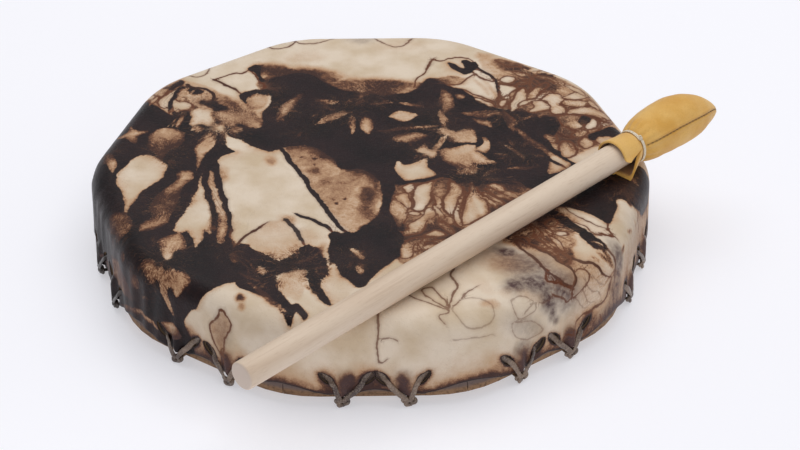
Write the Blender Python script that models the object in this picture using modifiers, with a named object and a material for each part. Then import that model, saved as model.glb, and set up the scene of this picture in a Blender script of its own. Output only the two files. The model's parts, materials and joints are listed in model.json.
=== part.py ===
"""Ceremonial frame drum with its beater.

A rawhide head is stretched over a ten-sided wooden frame and laced to a wrapped hold behind it.
The beater lies across the head. Metres, +Z up. The drum stands on the knots of its lacing at z = 0,
its playing head is up, and the origin is the middle of the hold's flat underside.
"""

import math

import bmesh
import bpy
from mathutils import Matrix, Vector

MM = 0.001
GAP = 0.3 * MM

# Plan of the drum, over the hide
SIDES = 10
WIDTH_OVER_CORNERS = 330 * MM
CORNER_RADIUS = 67.4 * MM
HALF_SIDE_ANGLE = math.pi / SIDES
ARC_CENTRE = WIDTH_OVER_CORNERS / 2 - CORNER_RADIUS
APOTHEM = ARC_CENTRE * math.cos(HALF_SIDE_ANGLE) + CORNER_RADIUS

# Heights
FRAME_BOTTOM = 4.0 * MM
DRUM_DEPTH = 50.6 * MM
HEAD_TOP = FRAME_BOTTOM + DRUM_DEPTH
HEAD_EDGE_RADIUS = 12.9 * MM
WALL_TOP = HEAD_TOP - HEAD_EDGE_RADIUS
WALL_ROW_HEIGHT = 28 * MM

# Rawhide head
HIDE_THICKNESS = 1.5 * MM
HIDE_FLARE = 1.2 * MM
EDGE_AT_LACE = 7.5 * MM
EDGE_BETWEEN_LACES = 11.5 * MM
EDGE_AT_CORNER = 14.0 * MM
EDGE_ROUND_STEPS = 3

# Wooden frame
FRAME_INSET = 2.6 * MM
STAVE_THICKNESS = 14.0 * MM
STAVE_TOP = HEAD_TOP - HIDE_THICKNESS - 0.35 * MM
MITRE_GAP_ANGLE = math.radians(0.06)

# Lacing: two stations on each side, each with a pair of slits
STATION_OFFSET = 18.2 * MM
SLIT_OFFSET = 11.1 * MM
SLIT_HEIGHT = 18.5 * MM
SLIT_LENGTH = 11.6 * MM
SLIT_WIDTH = 4.4 * MM
SLIT_SHOULDER = 4.2 * MM
SLIT_CUT = (-2.2 * MM, 3.0 * MM)
SLIT_LEAN = math.radians(45)
THONG_WIDTH = 3.2 * MM
THONG_THICKNESS = 0.9 * MM
THONG_FROM_KNOT = (Vector((-1.0, 1.3, 4.5)) * MM, Vector((-2.4, 1.95, 7.6)) * MM)
THONG_BEHIND_HIDE = (Vector((-13.2, -1.75, 22.9)) * MM, Vector((-10.4, -1.75, 25.0)) * MM)
THONG_IN_SLIT = 3.3 * MM
THONG_OUT_OF_HIDE = Vector((0, 1.62 * MM, 0))
STRAND_WIDTH = 2.6 * MM
STRAND_THICKNESS = 1.9 * MM
STRAND_HEIGHT = 2.0 * MM
STRAND_START = 0.8 * MM
KNOT_CENTRE = Vector((0, 1.2 * MM, 3.2 * MM))
KNOT_RADII = Vector((4.8 * MM, 3.0 * MM, 3.7 * MM))

# Wrapped hold behind the head: two crossing bars
HOLD_ARMS = 4
HOLD_REACH = 50 * MM
HOLD_WAIST = 15 * MM
HOLD_FIRST_ARM = math.radians(27)
HOLD_HEIGHT = 13 * MM
HOLD_END_HALF_WIDTH = 11 * MM
HOLD_WAIST_HALF_WIDTH = 7.5 * MM
HOLD_CROSSING_HALF_WIDTH = 9 * MM
HOLD_FACETS = 10
HOLD_FULLNESS = 1.12
STRAND_PITCH = 4.4 * MM
STRAND_END_HEIGHT = 6.0 * MM

# Beater: it leans on the front rim and on the far rim
DOWEL_RADIUS = 7.95 * MM
DOWEL_LENGTH = 344.5 * MM
DOWEL_END_ROUND = 1.2 * MM
BUTT = Vector((-68.75 * MM, -213.6 * MM, 0))
BEATER_HEADING = math.radians(43.53)
RIM_CROSSING = 96 * MM
NECK = 306 * MM
NECK_HEIGHT = 11.1 * MM
DOWEL_REST_HEIGHT = DOWEL_RADIUS + GAP
BEATER_RISE = math.atan2(NECK_HEIGHT - DOWEL_REST_HEIGHT, NECK - RIM_CROSSING)

# Beater head and collar, lengths from the neck and radii in millimetres, tip first
HEAD_PROFILE = (
    (70.3, 1.2), (69.0, 3.5), (66.0, 6.4), (60.4, 10.0), (51.8, 13.4), (43.1, 15.0), (34.5, 15.4),
    (25.9, 15.1), (17.3, 14.4), (8.6, 12.9), (3.0, 10.7), (1.0, 9.2), (-1.0, 9.2), (-3.0, 9.6),
    (-8.0, 9.9), (-13.0, 10.5), (-18.0, 11.2), (-18.0, 9.7), (-13.0, 9.0), (-8.0, 8.4), (-3.0, 8.25),
    (39.0, 8.25),
)
TIP_SWAY = 6.0 * MM
BELLY_SWAY = -1.1 * MM
SWAY_DIRECTION = Vector((0, -0.92, -0.40))
HEAD_OUTER_RINGS = 17
HEAD_FACETS = 24
SEAM_ANGLE = math.radians(-68)
FLAP_ANGLE = math.radians(-123)
FLAP_REACH = 7.0 * MM
FLAP_SPREAD = math.radians(95)
COLLAR_LENGTH = 18 * MM
COLLAR_THICKNESS = 1.5 * MM
NOTCH_CORNERS = ((-1.5 * MM, 4.4 * MM), (-21.0 * MM, 1.5 * MM), (-21.0 * MM, -6.5 * MM))
NOTCH_DEPTHS = (3 * MM, 26 * MM)

NECK_RADIUS = 9.2 * MM
TIE_RADIUS = 0.55 * MM


def clear_scene():
    """Remove every object that the file starts with."""
    for thing in list(bpy.data.objects):
        bpy.data.objects.remove(thing, do_unlink=True)


def new_collection(name):
    group = bpy.data.collections.new(name)
    bpy.context.scene.collection.children.link(group)
    return group


def make_material(name, colour, roughness):
    material = bpy.data.materials.new(name)
    material.use_nodes = True
    shader = material.node_tree.nodes["Principled BSDF"]
    shader.inputs["Base Color"].default_value = (*colour, 1.0)
    shader.inputs["Roughness"].default_value = roughness
    shader.inputs["Metallic"].default_value = 0.0
    return material


def add_object(name, mesh, collection, material=None):
    thing = bpy.data.objects.new(name, mesh)
    collection.objects.link(thing)
    if material is not None and not mesh.materials:
        mesh.materials.append(material)
    return thing


def add_cutter(name, mesh, collection):
    cutter = add_object(name, mesh, collection)
    cutter.hide_render = True
    cutter.display_type = "WIRE"
    return cutter


def add_boolean(thing, other, operation):
    cut = thing.modifiers.new(other.name, "BOOLEAN")
    cut.operation = operation
    cut.object = other
    cut.solver = "EXACT"


def loft(name, rings, cap_start=True, cap_end=True):
    """A mesh through closed rings of points that all have the same number of points."""
    shape = bmesh.new()
    loops = [[shape.verts.new(point) for point in ring] for ring in rings]
    count = len(rings[0])
    for here, after in zip(loops, loops[1:]):
        for i in range(count):
            j = (i + 1) % count
            shape.faces.new((here[i], after[i], after[j], here[j]))
    if cap_start:
        shape.faces.new(loops[0])
    if cap_end:
        shape.faces.new(reversed(loops[-1]))
    if cap_start and cap_end:
        bmesh.ops.recalc_face_normals(shape, faces=shape.faces)
    mesh = bpy.data.meshes.new(name)
    shape.to_mesh(mesh)
    shape.free()
    return mesh


def shade_round(mesh, angle=35):
    mesh.shade_smooth()
    mesh.set_sharp_from_angle(angle=math.radians(angle))


def evaluated_mesh(thing, name):
    """A plain mesh of the object with its modifiers applied."""
    graph = bpy.context.evaluated_depsgraph_get()
    graph.update()
    mesh = bpy.data.meshes.new_from_object(thing.evaluated_get(graph))
    mesh.name = name
    return mesh


def side_middle(side):
    """Angle of a side's middle; side 0 is at the front, facing -Y."""
    return math.radians(270) + side * 2 * HALF_SIDE_ANGLE


def outline_radius(from_middle, inset):
    """Distance from the axis to the rounded outline, at an angle from a side's middle."""
    apothem = APOTHEM - inset
    flat_end = math.atan2(ARC_CENTRE * math.sin(HALF_SIDE_ANGLE), apothem)
    if abs(from_middle) <= flat_end:
        return apothem / math.cos(from_middle)
    turn = HALF_SIDE_ANGLE - abs(from_middle)
    across = ARC_CENTRE * math.sin(turn)
    return ARC_CENTRE * math.cos(turn) + math.sqrt((CORNER_RADIUS - inset) ** 2 - across ** 2)


def plan_point(middle, from_middle, inset, height):
    radius = outline_radius(from_middle, inset)
    angle = middle + from_middle
    return Vector((radius * math.cos(angle), radius * math.sin(angle), height))


def edge_height(from_middle):
    """Height of the hide's lower edge: low at each lacing station, arched up between them."""
    station = math.atan2(STATION_OFFSET, APOTHEM)
    place = abs(from_middle)
    if place <= station:
        share, top = 0.5 + 0.5 * place / station, EDGE_BETWEEN_LACES
    else:
        share, top = 0.5 * (place - station) / (HALF_SIDE_ANGLE - station), EDGE_AT_CORNER
    return EDGE_AT_LACE + (top - EDGE_AT_LACE) * math.sin(math.pi * share) ** 2


def hide_profile(from_middle):
    """Pairs of inset and height down the outside of the hide."""
    pairs = []
    for step in range(EDGE_ROUND_STEPS + 1):
        turn = 0.5 * math.pi * step / EDGE_ROUND_STEPS
        inset = HEAD_EDGE_RADIUS * (1 - math.sin(turn))
        pairs.append((inset, HEAD_TOP - HEAD_EDGE_RADIUS * (1 - math.cos(turn))))
    for height in (WALL_ROW_HEIGHT, edge_height(from_middle)):
        fall = (WALL_TOP - height) / (WALL_TOP - FRAME_BOTTOM)
        pairs.append((-HIDE_FLARE * fall, height))
    return pairs


def hide_columns():
    """Angles from a side's middle where the hide has a column of points, one corner only."""
    station = math.degrees(math.atan2(STATION_OFFSET, APOTHEM))
    flat_end = math.degrees(math.atan2(ARC_CENTRE * math.sin(HALF_SIDE_ANGLE), APOTHEM))
    corner = math.degrees(HALF_SIDE_ANGLE)
    step = (corner - flat_end) / 3
    half = [station / 3, station, flat_end, flat_end + step, flat_end + 2 * step]
    return [math.radians(a) for a in [-corner] + [-a for a in reversed(half)] + half]


def make_slit_cutters(collection):
    """One object with a leaf-shaped prism for every slit."""
    shape = bmesh.new()
    tip, shoulder, half = SLIT_LENGTH / 2, SLIT_SHOULDER, SLIT_WIDTH / 2
    leaf = ((-tip, 0), (-shoulder, -half), (shoulder, -half), (tip, 0), (shoulder, half), (-shoulder, half))
    for side, lateral in stations():
        frame = station_matrix(side, lateral)
        for sign in (-1, 1):
            lean = Vector((sign * math.sin(SLIT_LEAN), 0, math.cos(SLIT_LEAN)))
            across = Vector((lean.z, 0, -lean.x))
            centre = Vector((sign * SLIT_OFFSET, 0, SLIT_HEIGHT))
            ends = []
            for depth in SLIT_CUT:
                place = centre + Vector((0, depth, 0))
                ends.append([shape.verts.new(frame @ (place + lean * a + across * b)) for a, b in leaf])
            shape.faces.new(ends[0])
            shape.faces.new(reversed(ends[1]))
            for i in range(len(leaf)):
                j = (i + 1) % len(leaf)
                shape.faces.new((ends[0][i], ends[1][i], ends[1][j], ends[0][j]))
    bmesh.ops.recalc_face_normals(shape, faces=shape.faces)
    mesh = bpy.data.meshes.new("slits")
    shape.to_mesh(mesh)
    shape.free()
    return add_cutter("slit_cutters", mesh, collection)


def make_hide(collection, cutters, material):
    rings = [[] for _ in hide_profile(0)]
    for side in range(SIDES):
        for from_middle in hide_columns():
            for ring, (inset, height) in zip(rings, hide_profile(from_middle)):
                ring.append(plan_point(side_middle(side), from_middle, inset, height))
    mesh = loft("drumhead_rawhide", rings, cap_end=False)
    shade_round(mesh)
    hide = add_object("drumhead_rawhide", mesh, collection, material)
    wall = hide.modifiers.new("hide thickness", "SOLIDIFY")
    wall.thickness = HIDE_THICKNESS
    wall.offset = -1
    wall.use_even_offset = True
    add_boolean(hide, make_slit_cutters(cutters), "DIFFERENCE")


def stave_section(middle, from_middle):
    """Closed outline of the board's section: rounded over at its outer top edge."""
    run = HEAD_EDGE_RADIUS - FRAME_INSET
    rise = STAVE_TOP - WALL_TOP
    points = [plan_point(middle, from_middle, FRAME_INSET, FRAME_BOTTOM)]
    for step in range(EDGE_ROUND_STEPS + 1):
        turn = 0.5 * math.pi * step / EDGE_ROUND_STEPS
        inset = FRAME_INSET + run * (1 - math.cos(turn))
        points.append(plan_point(middle, from_middle, inset, WALL_TOP + rise * math.sin(turn)))
    inner = (APOTHEM - FRAME_INSET - STAVE_THICKNESS) / math.cos(from_middle)
    for height in (STAVE_TOP, FRAME_BOTTOM):
        angle = middle + from_middle
        points.append(Vector((inner * math.cos(angle), inner * math.sin(angle), height)))
    return points


def make_staves(collection, material):
    flat_end = math.atan2(ARC_CENTRE * math.sin(HALF_SIDE_ANGLE), APOTHEM - FRAME_INSET)
    end = HALF_SIDE_ANGLE - MITRE_GAP_ANGLE
    angles = [flat_end, (flat_end + end) / 2, end]
    angles = [-a for a in reversed(angles)] + angles
    mesh = loft("frame_stave", [stave_section(0.0, angle) for angle in angles])
    for side in range(SIDES):
        stave = add_object(f"frame_stave_{side + 1:02d}", mesh, collection, material)
        stave.rotation_euler.z = side_middle(side)


def stations():
    """Side number and place along the side of each lacing station, counter-clockwise."""
    return [(side, lateral) for side in range(SIDES) for lateral in (-STATION_OFFSET, STATION_OFFSET)]


def station_matrix(side, lateral):
    """Frame of a station: X along the wall counter-clockwise, Y outwards, Z up."""
    turn = Matrix.Rotation(side_middle(side) - math.pi / 2, 4, "Z")
    return turn @ Matrix.Translation((-lateral, APOTHEM, 0))


def strap(name, path, outward, width, thickness):
    """A flat thong along a path, its broad face turned to the outward direction of each point."""
    rings = []
    for i, point in enumerate(path):
        ahead = path[min(i + 1, len(path) - 1)] - path[max(i - 1, 0)]
        ahead.normalize()
        side = ahead.cross(outward[i]).normalized()
        face = side.cross(ahead).normalized()
        across, up = side * width / 2, face * thickness / 2
        rings.append([point - across - up, point + across - up, point + across + up, point - across + up])
    return loft(name, rings)


def thong_path():
    """The thong's way at a station: from the knot, through one slit, behind the hide and back."""
    lean = Vector((-math.sin(SLIT_LEAN), 0, math.cos(SLIT_LEAN)))
    slit = Vector((-SLIT_OFFSET, 0, SLIT_HEIGHT))
    outer_end = slit - lean * THONG_IN_SLIT + THONG_OUT_OF_HIDE
    inner_end = slit + lean * THONG_IN_SLIT - THONG_OUT_OF_HIDE
    half = [*THONG_FROM_KNOT, outer_end, inner_end, *THONG_BEHIND_HIDE]
    return half + [Vector((-p.x, p.y, p.z)) for p in reversed(half)]


def make_lace_front(cutters):
    """The part of a lace that is alike at every station: thong and knot, in the station's frame."""
    path = thong_path()
    outward = [Vector((0, 1, 0))] * len(path)
    thong = add_cutter("thong", strap("thong", path, outward, THONG_WIDTH, THONG_THICKNESS), cutters)
    shape = bmesh.new()
    bmesh.ops.create_uvsphere(shape, u_segments=8, v_segments=4, radius=1.0)
    for vert in shape.verts:
        vert.co = KNOT_CENTRE + Vector(a * b for a, b in zip(vert.co, KNOT_RADII))
        vert.co.z = max(vert.co.z, 0.0)
    mesh = bpy.data.meshes.new("knot")
    shape.to_mesh(mesh)
    shape.free()
    knot = add_cutter("knot", mesh, cutters)
    add_boolean(thong, knot, "UNION")
    return evaluated_mesh(thong, "lace_front")


def hold_arm(angle):
    """Angle of the hold's arm that takes the lace from a station at this angle."""
    spread = 2 * math.pi / HOLD_ARMS
    arm = round((angle - HOLD_FIRST_ARM) / spread)
    return HOLD_FIRST_ARM + arm * spread


def make_laces(collection, cutters, material):
    front = make_lace_front(cutters)
    front.materials.append(material)
    angles = []
    for side, lateral in stations():
        place = station_matrix(side, lateral).translation
        angles.append(math.atan2(place.y, place.x))
    for number, (side, lateral) in enumerate(stations()):
        arm = hold_arm(angles[number])
        mates = sorted((a for a in angles if math.isclose(math.cos(hold_arm(a) - arm), 1.0)),
                       key=lambda a: math.sin(a - arm))
        slot = mates.index(angles[number]) - (len(mates) - 1) / 2
        frame = station_matrix(side, lateral)
        along = Vector((math.cos(arm), math.sin(arm), 0))
        across = Vector((-math.sin(arm), math.cos(arm), 0))
        end = along * HOLD_REACH + across * slot * STRAND_PITCH
        end.z = STRAND_END_HEIGHT
        start = Vector((0, -FRAME_INSET, STRAND_HEIGHT))
        local_end = frame.inverted() @ end
        pull = (frame.to_3x3() @ (start - local_end)).normalized()
        skew = math.sqrt(max(0.0, 1 - pull.dot(along) ** 2))
        local_end = frame.inverted() @ (end + along * (GAP + skew * STRAND_WIDTH / 2))
        path = [Vector((0, STRAND_START, STRAND_HEIGHT)), start, local_end]
        up = [Vector((0, 0, 1))] * len(path)
        name = f"lace_{number + 1:02d}"
        mesh = strap(name + "_strand", path, up, STRAND_WIDTH, STRAND_THICKNESS)
        strand = add_cutter(name + "_strand", mesh, cutters)
        lace = add_object(name, front, collection)
        for thing in (strand, lace):
            thing.matrix_world = frame
        add_boolean(lace, strand, "UNION")


def hold_section(x, half_width):
    """D-shaped section of a wrapped bar, flat below."""
    points = []
    for i in range(HOLD_FACETS):
        turn = 2 * math.pi * i / HOLD_FACETS
        y = half_width * math.cos(turn)
        z = HOLD_HEIGHT / 2 * (1 + HOLD_FULLNESS * math.sin(turn))
        points.append(Vector((x, y, min(max(z, 0.0), HOLD_HEIGHT))))
    return points


def make_hold(collection, cutters, material):
    widths = (
        (-HOLD_REACH, HOLD_END_HALF_WIDTH), (-HOLD_WAIST, HOLD_WAIST_HALF_WIDTH),
        (0.0, HOLD_CROSSING_HALF_WIDTH),
        (HOLD_WAIST, HOLD_WAIST_HALF_WIDTH), (HOLD_REACH, HOLD_END_HALF_WIDTH),
    )
    bar = loft("hand_hold", [hold_section(x, half) for x, half in widths])
    shade_round(bar, 50)
    hold = add_object("hand_hold", bar, collection, material)
    hold.rotation_euler.z = HOLD_FIRST_ARM
    other = add_cutter("crossing_bar", bar, cutters)
    other.rotation_euler.z = HOLD_FIRST_ARM + math.pi / 2
    add_boolean(hold, other, "UNION")


def make_beater_axis(collection):
    """Empty at the butt of the beater; its X axis runs along the dowel, Y to the left, Z up."""
    axis = bpy.data.objects.new("beater_axis", None)
    collection.objects.link(axis)
    height = HEAD_TOP + DOWEL_REST_HEIGHT - RIM_CROSSING * math.tan(BEATER_RISE)
    axis.location = BUTT + Vector((0, 0, height))
    axis.rotation_euler = (0, -BEATER_RISE, BEATER_HEADING)
    return axis


def make_dowel(collection, axis, material):
    shape = bmesh.new()
    bmesh.ops.create_cone(shape, cap_ends=True, segments=20, radius1=DOWEL_RADIUS,
                          radius2=DOWEL_RADIUS, depth=DOWEL_LENGTH)
    bmesh.ops.rotate(shape, verts=shape.verts, matrix=Matrix.Rotation(math.pi / 2, 3, "Y"))
    bmesh.ops.translate(shape, verts=shape.verts, vec=(DOWEL_LENGTH / 2, 0, 0))
    mesh = bpy.data.meshes.new("beater_dowel")
    shape.to_mesh(mesh)
    shape.free()
    shade_round(mesh)
    dowel = add_object("beater_dowel", mesh, collection, material)
    dowel.parent = axis
    rounding = dowel.modifiers.new("rounded ends", "BEVEL")
    rounding.width = DOWEL_END_ROUND
    rounding.segments = 2
    rounding.limit_method = "ANGLE"
    rounding.angle_limit = math.radians(60)


def head_sway(along):
    """How far the beater head's middle lies off the dowel's line."""
    length = HEAD_PROFILE[0][0] * MM
    share = min(max(along / length, 0.0), 1.0)
    return BELLY_SWAY * math.sin(math.pi * min(share * 1.35, 1.0)) + TIP_SWAY * share ** 7


def hide_below_axis(along):
    """Height of the hide's top on the beater's own Z, with the gap that keeps leather clear of it."""
    return GAP - DOWEL_REST_HEIGHT - (along - RIM_CROSSING) * math.tan(BEATER_RISE)


def flap_reach(turn, along):
    """How far the collar's open lower lip stands off the dowel."""
    opening = min(max(-along / COLLAR_LENGTH, 0.0), 1.0)
    away = (turn - FLAP_ANGLE + math.pi) % (2 * math.pi) - math.pi
    spread = FLAP_SPREAD if away < 0 else SEAM_ANGLE - FLAP_ANGLE
    fade = max(0.0, math.cos(0.5 * math.pi * min(abs(away) / spread, 1.0))) ** 1.5
    return FLAP_REACH * fade * opening ** 1.3


def make_beater_head(collection, cutters, axis, material):
    """Stuffed leather head and collar in one skin, with the socket that takes the dowel."""
    rings = []
    for number, (along_mm, radius_mm) in enumerate(HEAD_PROFILE):
        along = along_mm * MM
        inside = number >= HEAD_OUTER_RINGS
        centre = Vector((NECK + along, 0, 0))
        if not inside:
            centre += SWAY_DIRECTION * head_sway(along)
        lowest = hide_below_axis(NECK + along) + (COLLAR_THICKNESS if inside else 0.0)
        ring = []
        for i in range(HEAD_FACETS):
            turn = 2 * math.pi * i / HEAD_FACETS
            radius = radius_mm * MM + flap_reach(turn, along)
            height = radius * math.cos(turn)
            if along < 0:
                height = max(height, lowest)
            ring.append(centre + Vector((0, radius * math.sin(turn), height)))
        rings.append(ring)
    mesh = loft("beater_head", rings)
    shade_round(mesh, 50)
    head = add_object("beater_head", mesh, collection, material)
    head.parent = axis
    middle = (SEAM_ANGLE + FLAP_ANGLE) / 2
    outward = Vector((0, math.sin(middle), math.cos(middle)))
    tangent = Vector((0, math.cos(middle), -math.sin(middle)))
    ends = []
    for depth in NOTCH_DEPTHS:
        ends.append([Vector((NECK + a, 0, 0)) + tangent * b + outward * depth for a, b in NOTCH_CORNERS])
    cutter = add_cutter("collar_notch", loft("collar_notch", ends), cutters)
    cutter.parent = axis
    add_boolean(head, cutter, "DIFFERENCE")


def make_neck_tie(collection, axis, material):
    bpy.ops.mesh.primitive_torus_add(
        major_radius=NECK_RADIUS + GAP + TIE_RADIUS, minor_radius=TIE_RADIUS, major_segments=24,
        minor_segments=5, rotation=(0, math.pi / 2, 0))
    tie = bpy.context.object
    tie.name = "beater_neck_tie"
    tie.data.name = "beater_neck_tie"
    tie.data.materials.append(material)
    tie.data.shade_smooth()
    for group in list(tie.users_collection):
        group.objects.unlink(tie)
    collection.objects.link(tie)
    tie.parent = axis
    tie.location.x = NECK


def main():
    clear_scene()
    drum = new_collection("ceremonial_drum")
    cutters = new_collection("cutters")
    rawhide = make_material("rawhide", (0.62, 0.51, 0.40), 0.45)
    frame_wood = make_material("frame wood", (0.33, 0.20, 0.11), 0.65)
    lace_hide = make_material("lace rawhide", (0.33, 0.26, 0.20), 0.4)
    wrap_hide = make_material("hold wrap", (0.45, 0.35, 0.25), 0.55)
    dowel_wood = make_material("dowel wood", (0.60, 0.45, 0.32), 0.6)
    leather = make_material("beater leather", (0.66, 0.40, 0.11), 0.7)
    sinew = make_material("sinew", (0.75, 0.70, 0.62), 0.35)
    make_hide(drum, cutters, rawhide)
    make_staves(drum, frame_wood)
    make_laces(drum, cutters, lace_hide)
    make_hold(drum, cutters, wrap_hide)
    axis = make_beater_axis(drum)
    make_dowel(drum, axis, dowel_wood)
    make_beater_head(drum, cutters, axis, leather)
    make_neck_tie(drum, axis, sinew)


main()
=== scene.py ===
"""Looks of a ceremonial frame drum with its beater.

The rawhide head, its tied and dyed pattern, the lacing behind it, the wound hold, the wooden frame
and the beater with its stitched leather head are finished here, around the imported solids.
Metres and +Z up in the file; the builders below work in millimetres. The dye is laid out on the
hide spread flat: x to the right, y away from the viewer, and down the wall by length of hide.
"""

from __future__ import annotations

import json
import logging
import math
from dataclasses import dataclass, field
from enum import Enum

import bpy
import numpy as np
from bpy.types import Material, Mesh, Node, NodeSocket, NodeTree, Object
from mathutils import Matrix, Vector

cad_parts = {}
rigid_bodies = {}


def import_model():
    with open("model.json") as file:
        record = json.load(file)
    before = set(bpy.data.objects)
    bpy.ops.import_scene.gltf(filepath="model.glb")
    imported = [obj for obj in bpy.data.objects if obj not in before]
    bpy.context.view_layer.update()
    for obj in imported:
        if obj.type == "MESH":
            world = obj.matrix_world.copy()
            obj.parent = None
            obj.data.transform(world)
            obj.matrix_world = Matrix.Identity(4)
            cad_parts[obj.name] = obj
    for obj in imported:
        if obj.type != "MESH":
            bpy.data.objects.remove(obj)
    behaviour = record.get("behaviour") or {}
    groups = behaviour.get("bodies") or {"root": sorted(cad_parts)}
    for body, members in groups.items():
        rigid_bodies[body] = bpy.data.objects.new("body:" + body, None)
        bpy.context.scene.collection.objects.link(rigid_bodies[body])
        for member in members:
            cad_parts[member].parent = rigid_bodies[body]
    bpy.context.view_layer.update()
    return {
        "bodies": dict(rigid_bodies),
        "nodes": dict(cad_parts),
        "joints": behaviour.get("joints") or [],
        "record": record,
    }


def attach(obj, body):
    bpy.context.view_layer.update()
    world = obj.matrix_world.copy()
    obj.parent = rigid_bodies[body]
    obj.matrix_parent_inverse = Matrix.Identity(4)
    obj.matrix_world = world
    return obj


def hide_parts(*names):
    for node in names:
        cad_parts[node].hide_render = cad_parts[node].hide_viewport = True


MM = 0.001
TURN = 2 * math.pi

Array = np.ndarray
Point = tuple[float, float]
Spot = tuple[float, float, float]
Colour = tuple[float, float, float, float]
Face = tuple[int, ...]

HOLD_ARM = math.radians(27)
HOLD_REACH = 50.0
SHARP = math.radians(50)

log = logging.getLogger("drum")


def shade(red: float, green: float, blue: float) -> Colour:
    """Linear colour of a display colour from 0 to 255.

    Args:
        red: display red.
        green: display green.
        blue: display blue.

    Returns:
        The colour as Blender's sockets take it.
    """
    def linear(value: float) -> float:
        """One channel made linear."""
        share = value / 255
        return share / 12.92 if share <= 0.04045 else ((share + 0.055) / 1.055) ** 2.4

    return (linear(red), linear(green), linear(blue), 1.0)


def ease(low: float, high: float, value: Array) -> Array:
    """Smooth step from 0 at low to 1 at high."""
    share = np.clip((value - low) / (high - low), 0.0, 1.0)
    return share * share * (3 - 2 * share)


def hump(value: Array, width: float) -> Array:
    """Bell shape of height 1 around 0."""
    return np.exp(-((value / width) ** 2))


def curve_through(points: Array, closed: bool = False, per_span: int = 6) -> Array:
    """A smooth curve through points.

    Args:
        points: the points in order, one row each, of two or three numbers.
        closed: whether the curve runs back to its first point.
        per_span: points made between two given ones.

    Returns:
        The points of the curve.
    """
    points = np.asarray(points, float)
    if closed:
        around = np.vstack([points[-1], points, points[0], points[1]])
        spans = len(points)
    else:
        around = np.vstack([2 * points[0] - points[1], points, 2 * points[-1] - points[-2]])
        spans = len(points) - 1
    share = (np.arange(per_span) / per_span)[:, None]
    pieces = []
    for i in range(spans):
        before, start, end, after = around[i:i + 4]
        pieces.append(0.5 * (2 * start + (end - before) * share
                             + (2 * before - 5 * start + 4 * end - after) * share ** 2
                             + (3 * start - before - 3 * end + after) * share ** 3))
    if not closed:
        pieces.append(points[-1:])
    return np.vstack(pieces)


def ripple(points: Array, size: float, seed: int, waves: int = 7) -> Array:
    """Smooth irregular wave over a plane or through space, about -1 to 1.

    Args:
        points: places, one row each.
        size: typical length of a wave, in the unit of the places.
        seed: number that sets the wave's directions.
        waves: how many plane waves are added.

    Returns:
        One value for each place.
    """
    draw = np.random.default_rng(seed)
    total = np.zeros(len(points))
    for _ in range(waves):
        direction = draw.normal(size=points.shape[1])
        direction *= TURN / size * draw.uniform(0.7, 1.4) / np.linalg.norm(direction)
        total += np.sin(points @ direction + draw.uniform(0, TURN))
    return total / math.sqrt(waves)


# Outline and skin of the drum


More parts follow.
